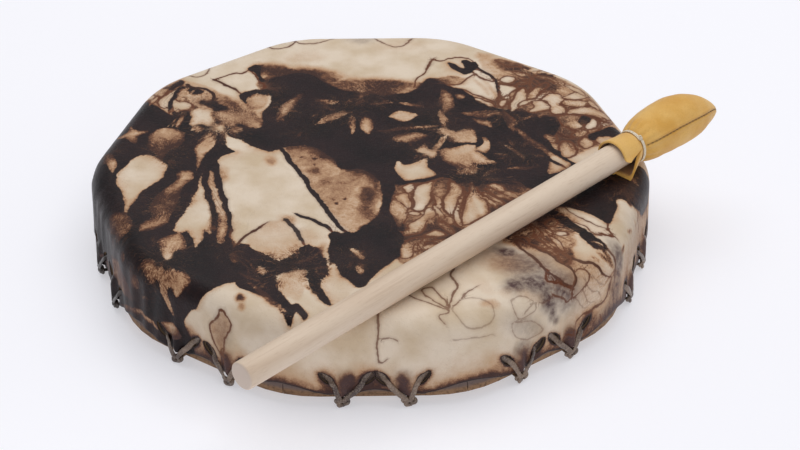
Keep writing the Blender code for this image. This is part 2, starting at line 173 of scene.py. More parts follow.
@dataclass(frozen=True)
class DrumPlan:
    """Ten-sided plan of the drum with rounded corners, in millimetres."""

    sides: int = 10
    over_corners: float = 330.0
    corner_radius: float = 67.4
    bottom: float = 4.0
    head_top: float = 54.6
    rim_radius: float = 12.9
    flare: float = 1.2
    hide: float = 1.5
    edge_at_lace: float = 7.5
    edge_between: float = 11.5
    edge_at_corner: float = 14.0
    station: float = 18.2
    board: float = 2.6

    @property
    def half(self) -> float:
        """Half the angle of a side."""
        return math.pi / self.sides

    @property
    def arc_centre(self) -> float:
        """Distance of a corner arc's centre from the axis."""
        return self.over_corners / 2 - self.corner_radius

    @property
    def apothem(self) -> float:
        """Distance of a side from the axis."""
        return self.arc_centre * math.cos(self.half) + self.corner_radius

    def slit_shift(self, number: int) -> float:
        """How far along the wall the slits of a lacing station lie from its middle."""
        return {0: -3.0, 1: 3.4}.get(number, 1.6 * math.sin(2.4 * number))

    @property
    def wall_top(self) -> float:
        """Height at which the rim's round meets the wall."""
        return self.head_top - self.rim_radius

    def from_middle(self, angle: Array) -> Array:
        """Angle from the middle of the nearest side; side 0 faces -Y."""
        return (angle - 1.5 * math.pi + self.half) % (2 * self.half) - self.half

    def outline(self, angle: Array, inset: Array | float) -> Array:
        """Distance from the axis to the outline.

        Args:
            angle: directions from the axis.
            inset: how far the line lies inside the hide's face.

        Returns:
            The distances.
        """
        inset = np.asarray(inset, float)
        rel = np.abs(self.from_middle(angle))
        apothem = self.apothem - inset
        flat_end = np.arctan2(self.arc_centre * math.sin(self.half), apothem)
        turn = self.half - rel
        reach = (self.corner_radius - inset) ** 2 - (self.arc_centre * np.sin(turn)) ** 2
        arc = self.arc_centre * np.cos(turn) + np.sqrt(np.maximum(reach, 0.0))
        return np.where(rel <= flat_end, apothem / np.cos(rel), arc)

    def edge(self, angle: Array) -> Array:
        """Height of the hide's lower edge, low at each lacing station.

        Args:
            angle: directions from the axis.

        Returns:
            The heights.
        """
        rel = np.abs(self.from_middle(angle))
        station = math.atan2(self.station, self.apothem)
        inner = 0.5 + 0.5 * rel / station
        outer = 0.5 * (rel - station) / (self.half - station)
        near = rel <= station
        share = np.where(near, inner, outer)
        top = np.where(near, self.edge_between, self.edge_at_corner)
        return self.edge_at_lace + (top - self.edge_at_lace) * np.sin(math.pi * share) ** 2

    def skin(self, places: Array) -> Array:
        """Places on the hide laid flat.

        Args:
            places: points on or in the hide, in millimetres.

        Returns:
            Their two coordinates on the spread hide.
        """
        angle = np.arctan2(places[:, 1], places[:, 0])
        rim = self.outline(angle, self.rim_radius)
        out = np.hypot(places[:, 0], places[:, 1]) - rim
        up = places[:, 2] - self.wall_top
        around = self.rim_radius * np.arctan2(np.maximum(out, 0.0), np.maximum(up, 1e-6))
        wall = self.rim_radius * math.pi / 2 - up
        length = np.where(up <= 0, wall, np.where(out <= 0, out, around))
        reach = rim + length
        return np.column_stack([reach * np.cos(angle), reach * np.sin(angle)])

    def station_frame(self, number: int) -> Matrix:
        """Frame of a lacing station: X along the wall, Y outwards, Z up, in millimetres.

        Args:
            number: the station.

        Returns:
            The frame.
        """
        side, second = divmod(number, 2)
        lateral = self.station if second else -self.station
        turn = 1.5 * math.pi + side * 2 * self.half - math.pi / 2
        return Matrix.Rotation(turn, 4, "Z") @ Matrix.Translation((-lateral, self.apothem, 0))


PLAN = DrumPlan()
STATIONS = 2 * PLAN.sides


# Dye on the spread hide


class Tone(Enum):
    """What a patch of the dyed hide is."""

    DARK = "soaked with dye"
    BROWN = "stained through"
    LIGHT = "kept pale by the tying"


@dataclass(frozen=True)
class Patch:
    """A patch with a soft organic outline through its points, given as x and y in turn.

    tan is how brown it is, and rim the width of a dark line around a pale one.
    """

    points: tuple[float, ...]
    tan: float = 0.25
    rim: float = 0.0
    tone: Tone = Tone.LIGHT

    def outline(self) -> Array:
        """The patch's edge."""
        return curve_through(np.reshape(self.points, (-1, 2)), closed=True, per_span=4)


@dataclass(frozen=True)
class Petal:
    """A leaf-shaped patch, placed by its middle, with its length's direction in degrees."""

    x: float
    y: float
    length: float
    width: float
    turn: float
    bend: float = 0.0
    tan: float = 0.45
    rim: float = 0.0
    tone: Tone = Tone.LIGHT

    def outline(self) -> Array:
        """The petal's edge.

        Returns:
            Its points in order.
        """
        share = np.linspace(-1, 1, 9)
        half = 0.5 * self.width * np.cos(share * math.pi / 2) ** 0.8
        middle = self.bend * self.length * (1 - share ** 2)
        along = 0.5 * self.length * share
        loop = np.vstack([np.column_stack([along, middle + half]),
                          np.column_stack([along, middle - half])[-2:0:-1]])
        angle = math.radians(self.turn)
        turned = loop @ np.array([[math.cos(angle), math.sin(angle)],
                                  [-math.sin(angle), math.cos(angle)]])
        return turned + (self.x, self.y)


@dataclass(frozen=True)
class Stroke:
    """A thin dark line of dye that gathered along a fold; its points are x and y in turn."""

    points: tuple[float, ...]
    width: float = 1.2
    ink: float = 1.0
    closed: bool = False

    def path(self) -> Array:
        """The line's middle."""
        return curve_through(np.reshape(self.points, (-1, 2)), self.closed, 5)


class Stain(Enum):
    """Colour of a soft stain."""

    BROWN = 0
    GREY = 1


@dataclass(frozen=True)
class Wash:
    """A soft stain: an ellipse that fades out, turned in degrees."""

    x: float
    y: float
    along: float
    across: float
    turn: float = 0.0
    amount: float = 0.8
    stain: Stain = Stain.BROWN


@dataclass(frozen=True)
class Burst:
    """A place where the hide was tied: fine streaks run out from it."""

    x: float
    y: float
    reach: float
    force: float = 0.8


DARK_MASSES = tuple(Patch(points, tone=Tone.DARK) for points in (
    (-62, 98, -52, 105, -41, 107, -33, 102, -26, 93, -19, 86, -8, 82, 6, 79, 20, 80, 28, 83, 33, 91,
     37, 98, 43, 96, 50, 89, 58, 84, 64, 76, 70, 68, 77, 62, 84, 60, 92, 60, 99, 55, 104, 47, 107, 36,
     106, 26, 109, 16, 116, 4, 122, -8, 112, -22, 98, -30, 84, -26, 70, -24, 58, -28, 50, -24, 44, -17,
     30, -21, 16, -24, 4, -20, -2, -11, -14, -10, -23, -2, -25, 6, -31, 15, -40, 20, -50, 18, -62, 13,
     -70, 19, -78, 27, -88, 34, -84, 40, -72, 40, -65, 43, -66, 52, -65, 61, -61, 70, -62, 79, -71, 82,
     -66, 87, -58, 86, -63, 92),
    (-6, 16, 16, 16, 15, 0, 14, -16, 13, -30, 11, -44, 16, -56, 18, -66, 17, -80, 15, -96, 6, -108,
     -2, -120, -8, -127, -16, -118, -24, -104, -25, -90, -25, -78, -22, -71, -13, -73, -6, -68, 1, -60,
     5, -46, 6, -30, 4, -18, -2, -6),
    (-180, 90, -165, 92, -152, 84, -143, 80, -137, 74, -130, 67, -123, 58, -117, 52, -114, 47, -108, 45,
     -100, 44, -94, 40, -88, 34, -84, 24, -80, 14, -88, 9, -91, -5, -89, -25, -84, -45, -81, -65,
     -79, -80, -72, -84, -66, -89, -58, -96, -53, -100, -46, -96, -41, -88, -36, -85, -30, -88, -27, -96,
     -25, -110, -29, -122, -26, -134, -22, -143, -29, -139, -34, -128, -37, -116, -47, -112, -60, -118,
     -76, -121, -84, -123, -92, -127, -100, -133, -108, -134, -116, -137, -119, -148, -124, -160,
     -132, -172, -150, -190, -215, -110, -235, 0, -215, 60),
    (-76, -120, -66, -114, -54, -110, -52, -124, -46, -140, -40, -141, -36, -150, -38, -154, -42, -148,
     -46, -158, -52, -146, -60, -134, -70, -128),
    # The next mass lies round the beater's line: dark dye, and under the beater also its painted shade.
    (98, -36, 112, -20, 128, -12, 145, -6, 158, -4, 170, -10, 174, -24, 166, -38, 154, -45, 142, -42,
     139, -54, 134, -67, 127, -61, 118, -53, 106, -48),
    (-81, 80, -72, 86, -68, 85, -71, 76, -73, 69, -77, 71),
    (-76, 113, -72, 118, -68, 114, -68, 104, -64, 97, -68, 97, -72, 108),
    (58, 120, 62, 121, 65, 118, 68, 118, 69, 114, 67, 109, 64, 105, 60, 103, 56, 107, 52, 112, 50, 117,
     54, 117, 58, 112, 61, 112),
    (99, -55, 106, -53, 113, -63, 118, -71, 124, -78, 128, -85, 131, -91, 124, -92, 119, -85, 115, -77,
     109, -70, 104, -63),
    (-117, 98, -120, 98, -123, 92, -124, 87, -120, 88, -117, 93),
    (-112, 90, -107, 88, -103, 85, -104, 82, -109, 81, -112, 85),
    (-104, 74, -99, 73, -95, 76, -92, 70, -88, 66, -90, 58, -94, 56, -95, 62, -100, 67, -105, 70),
    (128, 51, 132, 51, 134, 46, 131, 41, 126, 45),
    (-96, 62, -91, 65, -84, 62, -80, 60, -86, 57, -90, 52, -92, 44, -96, 44),
    (-121, 60, -112, 62, -108, 60, -108, 46, -98, 46, -94, 42, -98, 36, -108, 33, -114, 38, -116, 48),
    (-88, 43, -80, 46, -74, 42, -74, 36, -82, 34, -88, 37),
    (138, 34, 146, 38, 152, 34, 148, 27, 140, 25, 134, 22, 131, 28),
    (104, 50, 112, 50, 115, 44, 114, 36, 112, 30, 106, 26, 98, 36),
    (-150, 88, -146, 98, -138, 106, -127, 113, -122, 115, -122, 111, -130, 104, -138, 92, -143, 82),
))

BROWN_MASSES = tuple(Patch(points, tan, tone=Tone.BROWN) for tan, points in (
    (0.78, (-70, 92, -66, 100, -58, 109, -46, 112, -34, 108, -24, 101, -10, 97, 10, 96, 26, 95, 34, 90,
     20, 78, -20, 80, -60, 84)),
    (0.66, (36, 97, 44, 99, 54, 100, 62, 98, 70, 104, 80, 103, 92, 101, 101, 100, 114, 100, 124, 94,
     134, 82, 140, 70, 144, 58, 150, 46, 148, 28, 136, 16, 120, 8, 110, 22, 104, 46, 92, 56, 82, 62,
     72, 62, 60, 72, 48, 84, 38, 90)),
    (0.62, (70, 131, 74, 127, 80, 120, 88, 114, 96, 109, 103, 104, 104, 97, 94, 98, 84, 102, 76, 105,
     72, 112, 71, 120)),
    (0.7, (80, 123, 90, 121, 97, 116, 102, 110, 96, 110, 90, 116)),
    (0.85, (14, -22, 24, -18, 36, -15, 46, -18, 56, -20, 66, -20, 80, -20, 94, -22, 102, -26, 96, -38,
     80, -52, 62, -66, 48, -80, 36, -92, 20, -106, 13, -98, 16, -82, 17, -70, 12, -58, 9, -48, 11, -36,
     14, -28)),
    (0.55, (74, -80, 88, -66, 95, -58, 101, -58, 107, -66, 113, -80, 111, -92, 108, -106, 100, -100,
     90, -91, 82, -86)),
    (0.42, (-126, 94, -116, 97, -104, 93, -96, 86, -90, 78, -82, 70, -84, 60, -90, 50, -98, 43, -110, 42,
     -121, 48, -128, 58, -133, 70, -132, 84)),
    (0.85, (-112, 66, -106, 66, -108, 56, -111, 48, -118, 44, -120, 52, -117, 60)),
    (0.55, (128, -143, 134, -141, 141, -146, 142, -152, 134, -155, 127, -151)),
    (0.6, (-140, 80, -134, 74, -128, 70, -125, 60, -130, 58, -137, 64, -142, 72)),
))

PALE_PATCHES = (
    Patch((50, 90, 56, 86, 61, 84, 65, 79, 70, 76, 76, 71, 79, 72, 80, 80, 80, 90, 78, 96, 74, 97,
        72, 101, 68, 103, 64, 99, 60, 94, 56, 91), 0.12, 1.4),
    Patch((65, 108, 69, 108, 73, 104, 76, 99, 77, 95, 73, 97, 70, 100, 67, 104), 0.1, 1.6),
    Petal(70, 87, 20, 2.4, -70, 0.05, 0.6), Petal(75, 84, 22, 2.0, -74, 0.04, 0.65),
    Patch((82, 90, 91, 86, 88, 80, 84, 76, 81, 76, 81, 84), 0.05, 1.5),
    Patch((86, 58, 88, 58, 93, 65, 97, 72, 97, 79, 95, 85, 92, 79, 89, 72, 87, 66), 0.12, 1.6),
    Patch((92, 63, 99, 68, 106, 74, 113, 79, 112, 81, 105, 76, 98, 71, 93, 67), 0.1, 1.4),
    Patch((98, 72, 102, 74, 106, 80, 110, 87, 110, 91, 105, 87, 102, 81, 99, 77), 0.3, 1.2),
    Patch((83, 96, 86, 99, 91, 98, 90, 94, 85, 93), 0.1, 1.2),
    Petal(84.5, 74, 4, 3.4, 40, 0.0, 0.0, 1.2), Petal(82.6, 67, 10, 3.2, 66, 0.05, 0.05, 1.3),
    Patch((64, 73, 68, 73, 72, 69, 75, 68, 76, 63, 73, 63, 71, 66, 67, 70), 0.15, 1.3),
    Patch((100, 69, 104, 70, 108, 67, 110, 63, 108, 59, 104, 57, 98, 57, 101, 61, 101, 65), 0.2, 1.0),
    Patch((106, 72, 112, 78, 117, 77, 120, 73, 119, 68, 117, 64, 120, 59, 119, 53, 114, 53, 110, 58,
        111, 64, 110, 69), 0.2, 1.2),
    Patch((119, 68, 124, 70, 131, 69, 136, 66, 132, 63, 126, 62, 121, 63), 0.4, 1.1),
    Patch((121, 57, 127, 60, 136, 61, 144, 56, 147, 50, 142, 48, 135, 52, 127, 53, 122, 54), 0.2, 1.4),
    Patch((116, 50, 121, 52, 127, 50, 126, 45, 130, 40, 126, 37, 120, 37, 117, 40), 0.25, 1.2),
    Patch((131, 36, 133, 43, 134, 47, 137, 44, 137, 39, 134, 36), 0.15, 1.6),
    Petal(140, 43, 14, 2.2, 64, -0.12, 0.3, 1.0), Petal(144, 42, 8, 3, 40, 0.0, 0.2, 1.0),
    Patch((121, 30, 126, 34, 130, 32, 128, 28, 123, 27), 0.2, 1.2),
    Patch((104, 28, 108, 30, 112, 27, 111, 21, 107, 22), 0.3, 1.2),
    Patch((129, 26, 132, 24, 133, 17, 128, 14, 125, 20), 0.2, 1.4),
    Patch((112, 8, 114, 18, 117, 22, 122, 14, 120, 7, 115, 4), 0.3, 1.6),
    Patch((136, 25, 144, 27, 148, 22, 140, 18, 136, 20), 0.25, 1.2),
    Patch((119, 74, 125, 77, 131, 80, 136, 76, 131, 72, 124, 72), 0.3, 0.9),
    Petal(122, 88, 22, 3.4, -35, 0.04, 0.4, 0.7), Petal(128, 82, 18, 4.0, -48, 0.04, 0.35, 0.7),
    Petal(112, 96, 18, 2.6, -28, 0.04, 0.4, 0.8), Petal(96, 101, 14, 4.4, -42, 0.04, 0.25, 1.0),
    Petal(104, 93, 12, 2.4, -70, 0.04, 0.5, 0.7), Petal(96, 91, 10, 2.4, 24, 0.04, 0.4, 0.8),
    Petal(138, 64, 12, 4, -60, 0.0, 0.2, 0.7), Petal(88, 116, 18, 4.0, -28, 0.0, 0.05, 0.9),
    Petal(96, 50, 22, 2.2, 38, 0.0, 0.8), Petal(104, 54, 14, 2.0, 36, 0.0, 0.75),
    Petal(46, 92, 12, 2.2, -8, 0.0, 0.6), Petal(54, 96, 14, 3.0, -16, 0.05, 0.35),
    Petal(78, 110, 14, 3.4, -65, 0.0, 0.75),
    Patch((18, -27, 21, -25, 25, -25, 24, -29, 21, -33, 19, -31), 0.2, 1.3),
    Patch((26, -28, 29, -24, 33, -22, 36, -22, 35, -29, 33, -34, 33, -41, 30, -48, 27, -51, 23, -50,
        25, -44, 25, -36), 0.2, 1.7),
    Patch((14, -36, 20, -34, 22, -39, 22, -46, 20, -50, 17, -46, 15, -41), 0.5, 0.9),
    Patch((11, -42, 14, -42, 18, -47, 20, -52, 20, -57, 18, -63, 15, -68, 13, -63, 11, -56,
        10, -49), 0.6, 0.8),
    Patch((36, -23, 40, -19, 43, -17, 46, -22, 46, -30, 43, -38, 41, -46, 38, -41, 35, -34), 0.62, 0.7),
    Patch((46, -22, 50, -24, 52, -28, 51, -34, 49, -41, 48, -48, 47, -56, 44, -56, 42, -50, 41, -42,
        44, -34, 46, -28), 0.22, 1.7),
    Patch((53, -33, 52, -40, 50, -48, 49, -58, 50, -67, 48, -67, 46, -60, 48, -50, 50, -41), 0.3, 1.2),
    Patch((58, -22, 61, -30, 64, -38, 65, -46, 66, -54, 60, -60, 54, -66, 51, -66, 52, -58, 53, -48,
        55, -39, 57, -31), 0.45, 1.2),
    Petal(60, -46, 26, 2.2, -80, 0.03, 0.15), Petal(56, -52, 22, 1.6, -84, 0.0, 0.2),
    Petal(73, -36, 19, 2.8, -38, 0.02, 0.4, 0.9), Petal(70, -40, 18, 2.4, -47, 0.02, 0.4, 0.9),
    Petal(67, -43, 18, 2.6, -58, 0.02, 0.5, 0.8), Petal(80, -36, 12, 4.4, -38, 0.0, 0.35, 0.7),
    Patch((67, -27, 71, -25, 76, -27, 76, -32, 71, -31), 0.35, 0.8),
    Petal(86, -26, 16, 2.2, -46, 0.03, 0.8), Petal(24, -55, 6, 4, 10, 0.0, 0.5, 0.9),
    Patch((31, -50, 35, -50, 35, -57, 31, -63, 28, -70, 25, -75, 18, -77, 17, -73, 21, -70, 20, -66,
        25, -62, 29, -57), 0.35, 1.1),
    Petal(37.5, -56, 20, 2.6, -80, 0.04, 0.3, 0.9), Petal(42, -70, 15, 3.2, -62, 0.0, 0.35, 0.9),
    Petal(43, -62, 7, 4.2, -70, 0.0, 0.45, 0.9), Petal(32, -60, 14, 1.6, -60, 0.0, 0.3),
    Petal(34, -67, 9, 4, -60, 0.0, 0.7), Petal(38, -43, 14, 3.0, -82, 0.0, 0.35, 0.8),
    Patch((17, -84, 24, -80, 29, -79, 27, -84, 22, -90, 20, -99, 15, -99, 15, -90), 0.6, 0.8),
    Petal(35, -77, 12, 5, 0, 0.1, 0.1, 0.9), Petal(31, -82, 10, 3, 24, 0.0, 0.4, 0.8),
    Petal(27, -87, 12, 2.4, 66, 0.0, 0.3, 0.8), Petal(32, -88, 9, 3, 20, 0.0, 0.1, 0.8),
    Petal(24, -90, 12, 2.2, 84, 0.0, 0.45, 0.7), Petal(38, -83, 9, 3, 10, 0.0, 0.3, 0.8),
    Patch((106, -51, 109, -50, 113, -56, 118, -62, 124, -67, 127, -70, 131, -72, 135, -77, 128, -79,
        123, -75, 120, -69, 114, -64, 109, -58), 0.3, 0.8),
    Petal(125, -87, 9, 1.6, -38, 0.0, 0.3),
    Patch((80, -85, 84, -86, 90, -92, 97, -99, 104, -107, 110, -114, 111, -119, 104, -118, 96, -114,
        92, -104, 86, -94), 0.42, 2.0),
    Patch((88, -86, 94, -92, 100, -97, 106, -105, 108, -106, 107, -100, 100, -92, 93, -85,
        89, -80), 0.45, 1.6),
    Patch((79, -79, 84, -72, 89, -71, 91, -78, 86, -80), 0.5, 0.8),
    Petal(92.5, -77, 24, 2.4, -70, 0.03, 0.35, 0.9), Petal(96, -86, 20, 2.0, -58, 0.03, 0.4, 0.9),
    Petal(103, -87, 18, 2.8, -66, 0.03, 0.3, 0.9), Petal(101, -66, 9, 6, 60, 0.0, 0.65, 1.0),
    Petal(105, -76, 10, 3.6, -18, 0.0, 0.2, 1.2), Petal(99, -75, 8, 3, -70, 0.0, 0.4, 0.8),
    Petal(99, -96, 14, 1.6, -52, 0.0, 0.4, 0.7), Petal(96, -67, 12, 2.2, -66, 0.0, 0.7),
    Petal(86, -84, 12, 1.8, -40, 0.0, 0.7),
    Patch((-118, 92, -116, 90, -118, 85, -121, 79, -123, 73, -124, 67, -128, 67, -129, 74, -126, 80,
        -122, 86), 0.15, 1.3),
    Patch((-121, 76, -117, 72, -113, 72, -109, 68, -110, 64, -114, 63, -117, 60, -119, 60,
        -121, 66), 0.15, 1.2),
    Petal(-117, 79, 14, 1.6, 70, 0.0, 0.4), Petal(-114, 80, 14, 1.2, 74, 0.0, 0.4),
    Petal(-110, 84, 12, 1.6, 70, 0.0, 0.2), Petal(-115, 50, 16, 3, 78, 0.03, 0.3, 0.8),
    Petal(-108, 58, 16, 2, 98, 0.0, 0.3, 0.6), Petal(-133, 74, 14, 2.6, 70, 0.0, 0.3, 0.8),
    Petal(-49, 64, 38, 7, 66, 0.05, 0.6), Petal(-117, 50, 22, 1.3, 74, 0.0, 0.3),
    Petal(-114, 51, 20, 1.0, 80, 0.02, 0.4), Petal(-119.5, 50, 16, 1.0, 70, 0.0, 0.5),
    *(Petal(-92, 41, 15, 1.3, turn, 0.02, 0.1) for turn in range(8, 180, 25)),
    Petal(-26, 73, 16, 6, -8, -0.12, 0.6), Petal(-22, 52, 25, 7, 33, 0.05, 0.7),
    Petal(-11, 43, 24, 4.5, 88, 0.0, 0.7), Petal(-2, 43, 22, 8, 95, 0.0, 0.55),
    Petal(-6, 86, 28, 3.4, 84, -0.06, 0.7), Petal(20, 53, 19, 13, 4, 0.0, 0.6),
    Petal(46, 71, 30, 9, 92, -0.05, 0.65), Petal(45, 50, 22, 5, 96, 0.04, 0.65),
    Petal(69, 56, 27, 8, 0, -0.06, 0.6), Petal(68, 43, 16, 6, -42, 0.12, 0.45),
    Petal(24, 27, 23, 10, 14, 0.05, 0.55), Petal(22, 38, 44, 3.2, 9, 0.02, 0.85),
    Petal(88, -8, 20, 3.0, 4, 0.0, 0.7), Petal(25, 66, 17, 3.4, -20, 0.05, 0.7),
    Petal(8, 68, 16, 2.4, 6, 0.05, 0.75), Petal(84, 46, 28, 5, -80, 0.03, 0.85),
    Petal(56, 76, 7, 6, 60, 0.0, 0.6), Petal(85, 11, 22, 2.2, -58, 0.03, 0.7),
    Petal(-9, -95, 15, 5, -58, 0.04, 0.35), Petal(-8, -110, 9, 4.6, -75, 0.0, 0.35),
    Petal(-77, -97, 11, 4, -82, 0.0, 0.5),
    Patch((-98, -163, -99, -155, -98, -148, -96, -144, -91, -143, -87, -141, -84, -139, -82, -142,
        -81, -147, -84, -150.5, -89, -154, -93, -158), 0.62, 1.2),
    # The thin pale crescent runs down the left wall to a lacing slit.
    Patch((-186, -93, -176, -98, -166, -105, -156, -113, -148, -121, -143, -128, -141, -136, -144, -132,
        -150, -124, -158, -117, -167, -109, -177, -102), 0.62),
    # The two broad leaves on the left wall, with their grey stains, are partly pale hide and partly a
    # painted reflection: the purple-grey sheen along that wall.
    Petal(-160, -87, 48, 17, -70, 0.0, 0.95), Petal(-184, -58, 40, 6, -64, 0.0, 1.1),
    Petal(-61, -131, 30, 3.4, -56, 0.02, 0.9), Petal(-57, -137, 30, 1.5, -57, 0.0, 0.55),
    Petal(-53, -141, 26, 1.6, -62, 0.0, 0.7), Petal(-49, -146, 20, 1.2, -64, 0.0, 0.6),
    Petal(-74, -106, 24, 1.2, -62, 0.16, 0.9), Petal(-71, -105, 24, 1.0, -60, 0.17, 0.8),
    Petal(-68, -118, 20, 1.1, -38, 0.1, 0.7), Petal(-65, -121, 22, 1.0, -42, 0.08, 0.8),
    Petal(-62, -110, 9, 5.5, 100, 0.0, 0.35), Petal(-140, -103, 10, 8.5, 10, 0.0, 0.8),
    Petal(-142, -85, 7, 4, 90, 0.0, 0.8),
    Patch((-95, -7, -92, -12, -90.5, -22, -88, -34, -85, -46, -82.5, -58, -82, -72, -83, -81, -86, -83,
        -87.5, -76, -87.5, -62, -89, -48, -91.5, -36, -94, -22), 0.3),
    Petal(-155, 4, 28, 6, -72, 0.04, 0.6), Petal(-105, 40, 9, 7, 20, 0.0, 0.4),
    Petal(-81, 39, 9, 8, 0, 0.0, 0.6), Petal(-74, 73, 9, 4, 95, 0.0, 0.3),
    Petal(-131, -138, 18, 9, -55, 0.06, 0.7),
    Patch((-146, 46, -142, 40, -134, 38, -139, 31, -141, 24, -146, 29, -153, 34, -147, 38), 0.6),
    Patch((-131, 38, -122, 42, -113, 38, -112, 30, -114, 22, -120, 17, -123, 8, -128, 12,
        -133, 24), 0.75),
    Patch((-108, 61, -101, 62, -95, 60, -94, 51, -97, 44, -103, 46, -109, 44), 0.1),
    Patch((-97, 57, -89, 62, -79, 63, -71, 66, -69, 55, -65, 44, -72, 42, -78, 45, -84, 42,
        -90, 46), 0.45),
    Patch((-72, 80, -63, 79, -64, 69, -71, 61, -76, 67), 0.6),
    Patch((-96, 37, -93, 30, -93, 22, -97, 13, -100, 4, -102, -8, -103, 8, -105, 20, -101, 29), 0.5),
    Patch((-140, 7, -133, 11, -122, 3, -120, -7, -125, -18, -129, -24, -133, -30, -138, -44, -141, -56,
        -142, -40, -145, -27, -149, -15, -146, -4), 0.15),
    Patch((-112, -8, -105, -8, -104, -14, -109, -24, -111, -38, -114, -52, -115, -62, -122, -67,
        -131, -70, -130, -62, -125, -54, -127, -42, -121, -28, -115, -20), 0.75),
    Patch((-99, -7, -99, -20, -96.5, -32, -93.5, -45, -91.5, -58, -91, -74, -94, -69, -96, -78, -98, -87,
        -101, -78, -105, -70, -107, -72, -113, -70, -111, -62, -107, -50, -104, -40, -101, -22), 0.1),
    Patch((-113, -74, -107, -73, -104, -86, -110, -90, -112, -98, -116, -97, -118, -88, -120, -80), 0.4),
    Patch((-88, 34, -84, 30, -76, 25, -70, 19, -58, 11, -50, -2, -43, -16, -33, -38, -24, -58, -17, -74,
        -21, -71, -25, -70, -24, -80, -25, -95, -28, -99, -30, -89, -35, -86, -40, -79, -43, -69,
        -50, -63, -56, -62, -60, -63, -69, -75, -77, -85, -78, -70, -81, -50, -86, -25, -89, -5, -87, 5,
        -80, 11, -86, 22), 0.05),
    Patch((-60, -64, -55, -61, -49, -63, -44, -72, -42, -85, -46, -94, -53, -99, -59, -94, -66, -87,
        -70, -81, -66, -72), 0.35),
    Patch((-50, 15, -44, 19, -38, 19, -30, 14, -23, 5, -18, -6, -5, -8, 3, -18, 4, -34, 1, -54, -4, -65,
        -12, -74, -19, -62, -28, -42, -36, -22, -44, -4), 0.85),
    Patch((-129, -98, -122, -97, -119, -104, -110, -107, -103, -111, -101, -118, -110, -123, -114, -117,
        -118, -122, -121, -134, -123, -124, -120, -112, -126, -110), 0.75),
    Patch((-151, -48, -143, -50, -137, -56, -136, -66, -143, -72, -148, -66, -152, -58), 0.8),
    Patch((-47, -112, -38, -110, -37, -122, -41, -138, -49, -132, -53, -122), 0.35),
    Patch((-22, -103, -18, -114, -11, -126, -14, -136, -20, -140, -27, -128, -26, -114), 0.2),
    Patch((44, 39, 52, 34, 60, 38, 64, 30, 62, 22, 53, 22, 47, 28, 40, 33), 0.5),
    Patch((32, 21, 36, 14, 43, 28, 45, 27, 39, 11, 36, 4, 32, 9, 27, 11), 0.35),
    Patch((68, 28, 71, 24, 71, 13, 67, 9, 63, 14, 66, 20), 0.6),
    Patch((40, 12, 50, 17, 62, 19, 64, 10, 74, -2, 62, -3, 61, -12, 50, -14, 52, -8, 44, 0), 0.5),
    Patch((15, 2, 20, -3, 27, 0, 34, 4, 33, -6, 38, -14, 30, -18, 21, -20, 16, -14, 14, -5), 0.12),
    Patch((87, 39, 93, 33, 98, 24, 104, 15, 110, 6, 116, -2, 112, -4, 104, 8, 98, 15, 93, 24), 0.75),
    Patch((108, 5, 118, -4, 110, -12, 104, -14, 105, -4), 0.3),
    Patch((142, -12, 150, -14, 156, -24, 150, -22), 0.7),
)

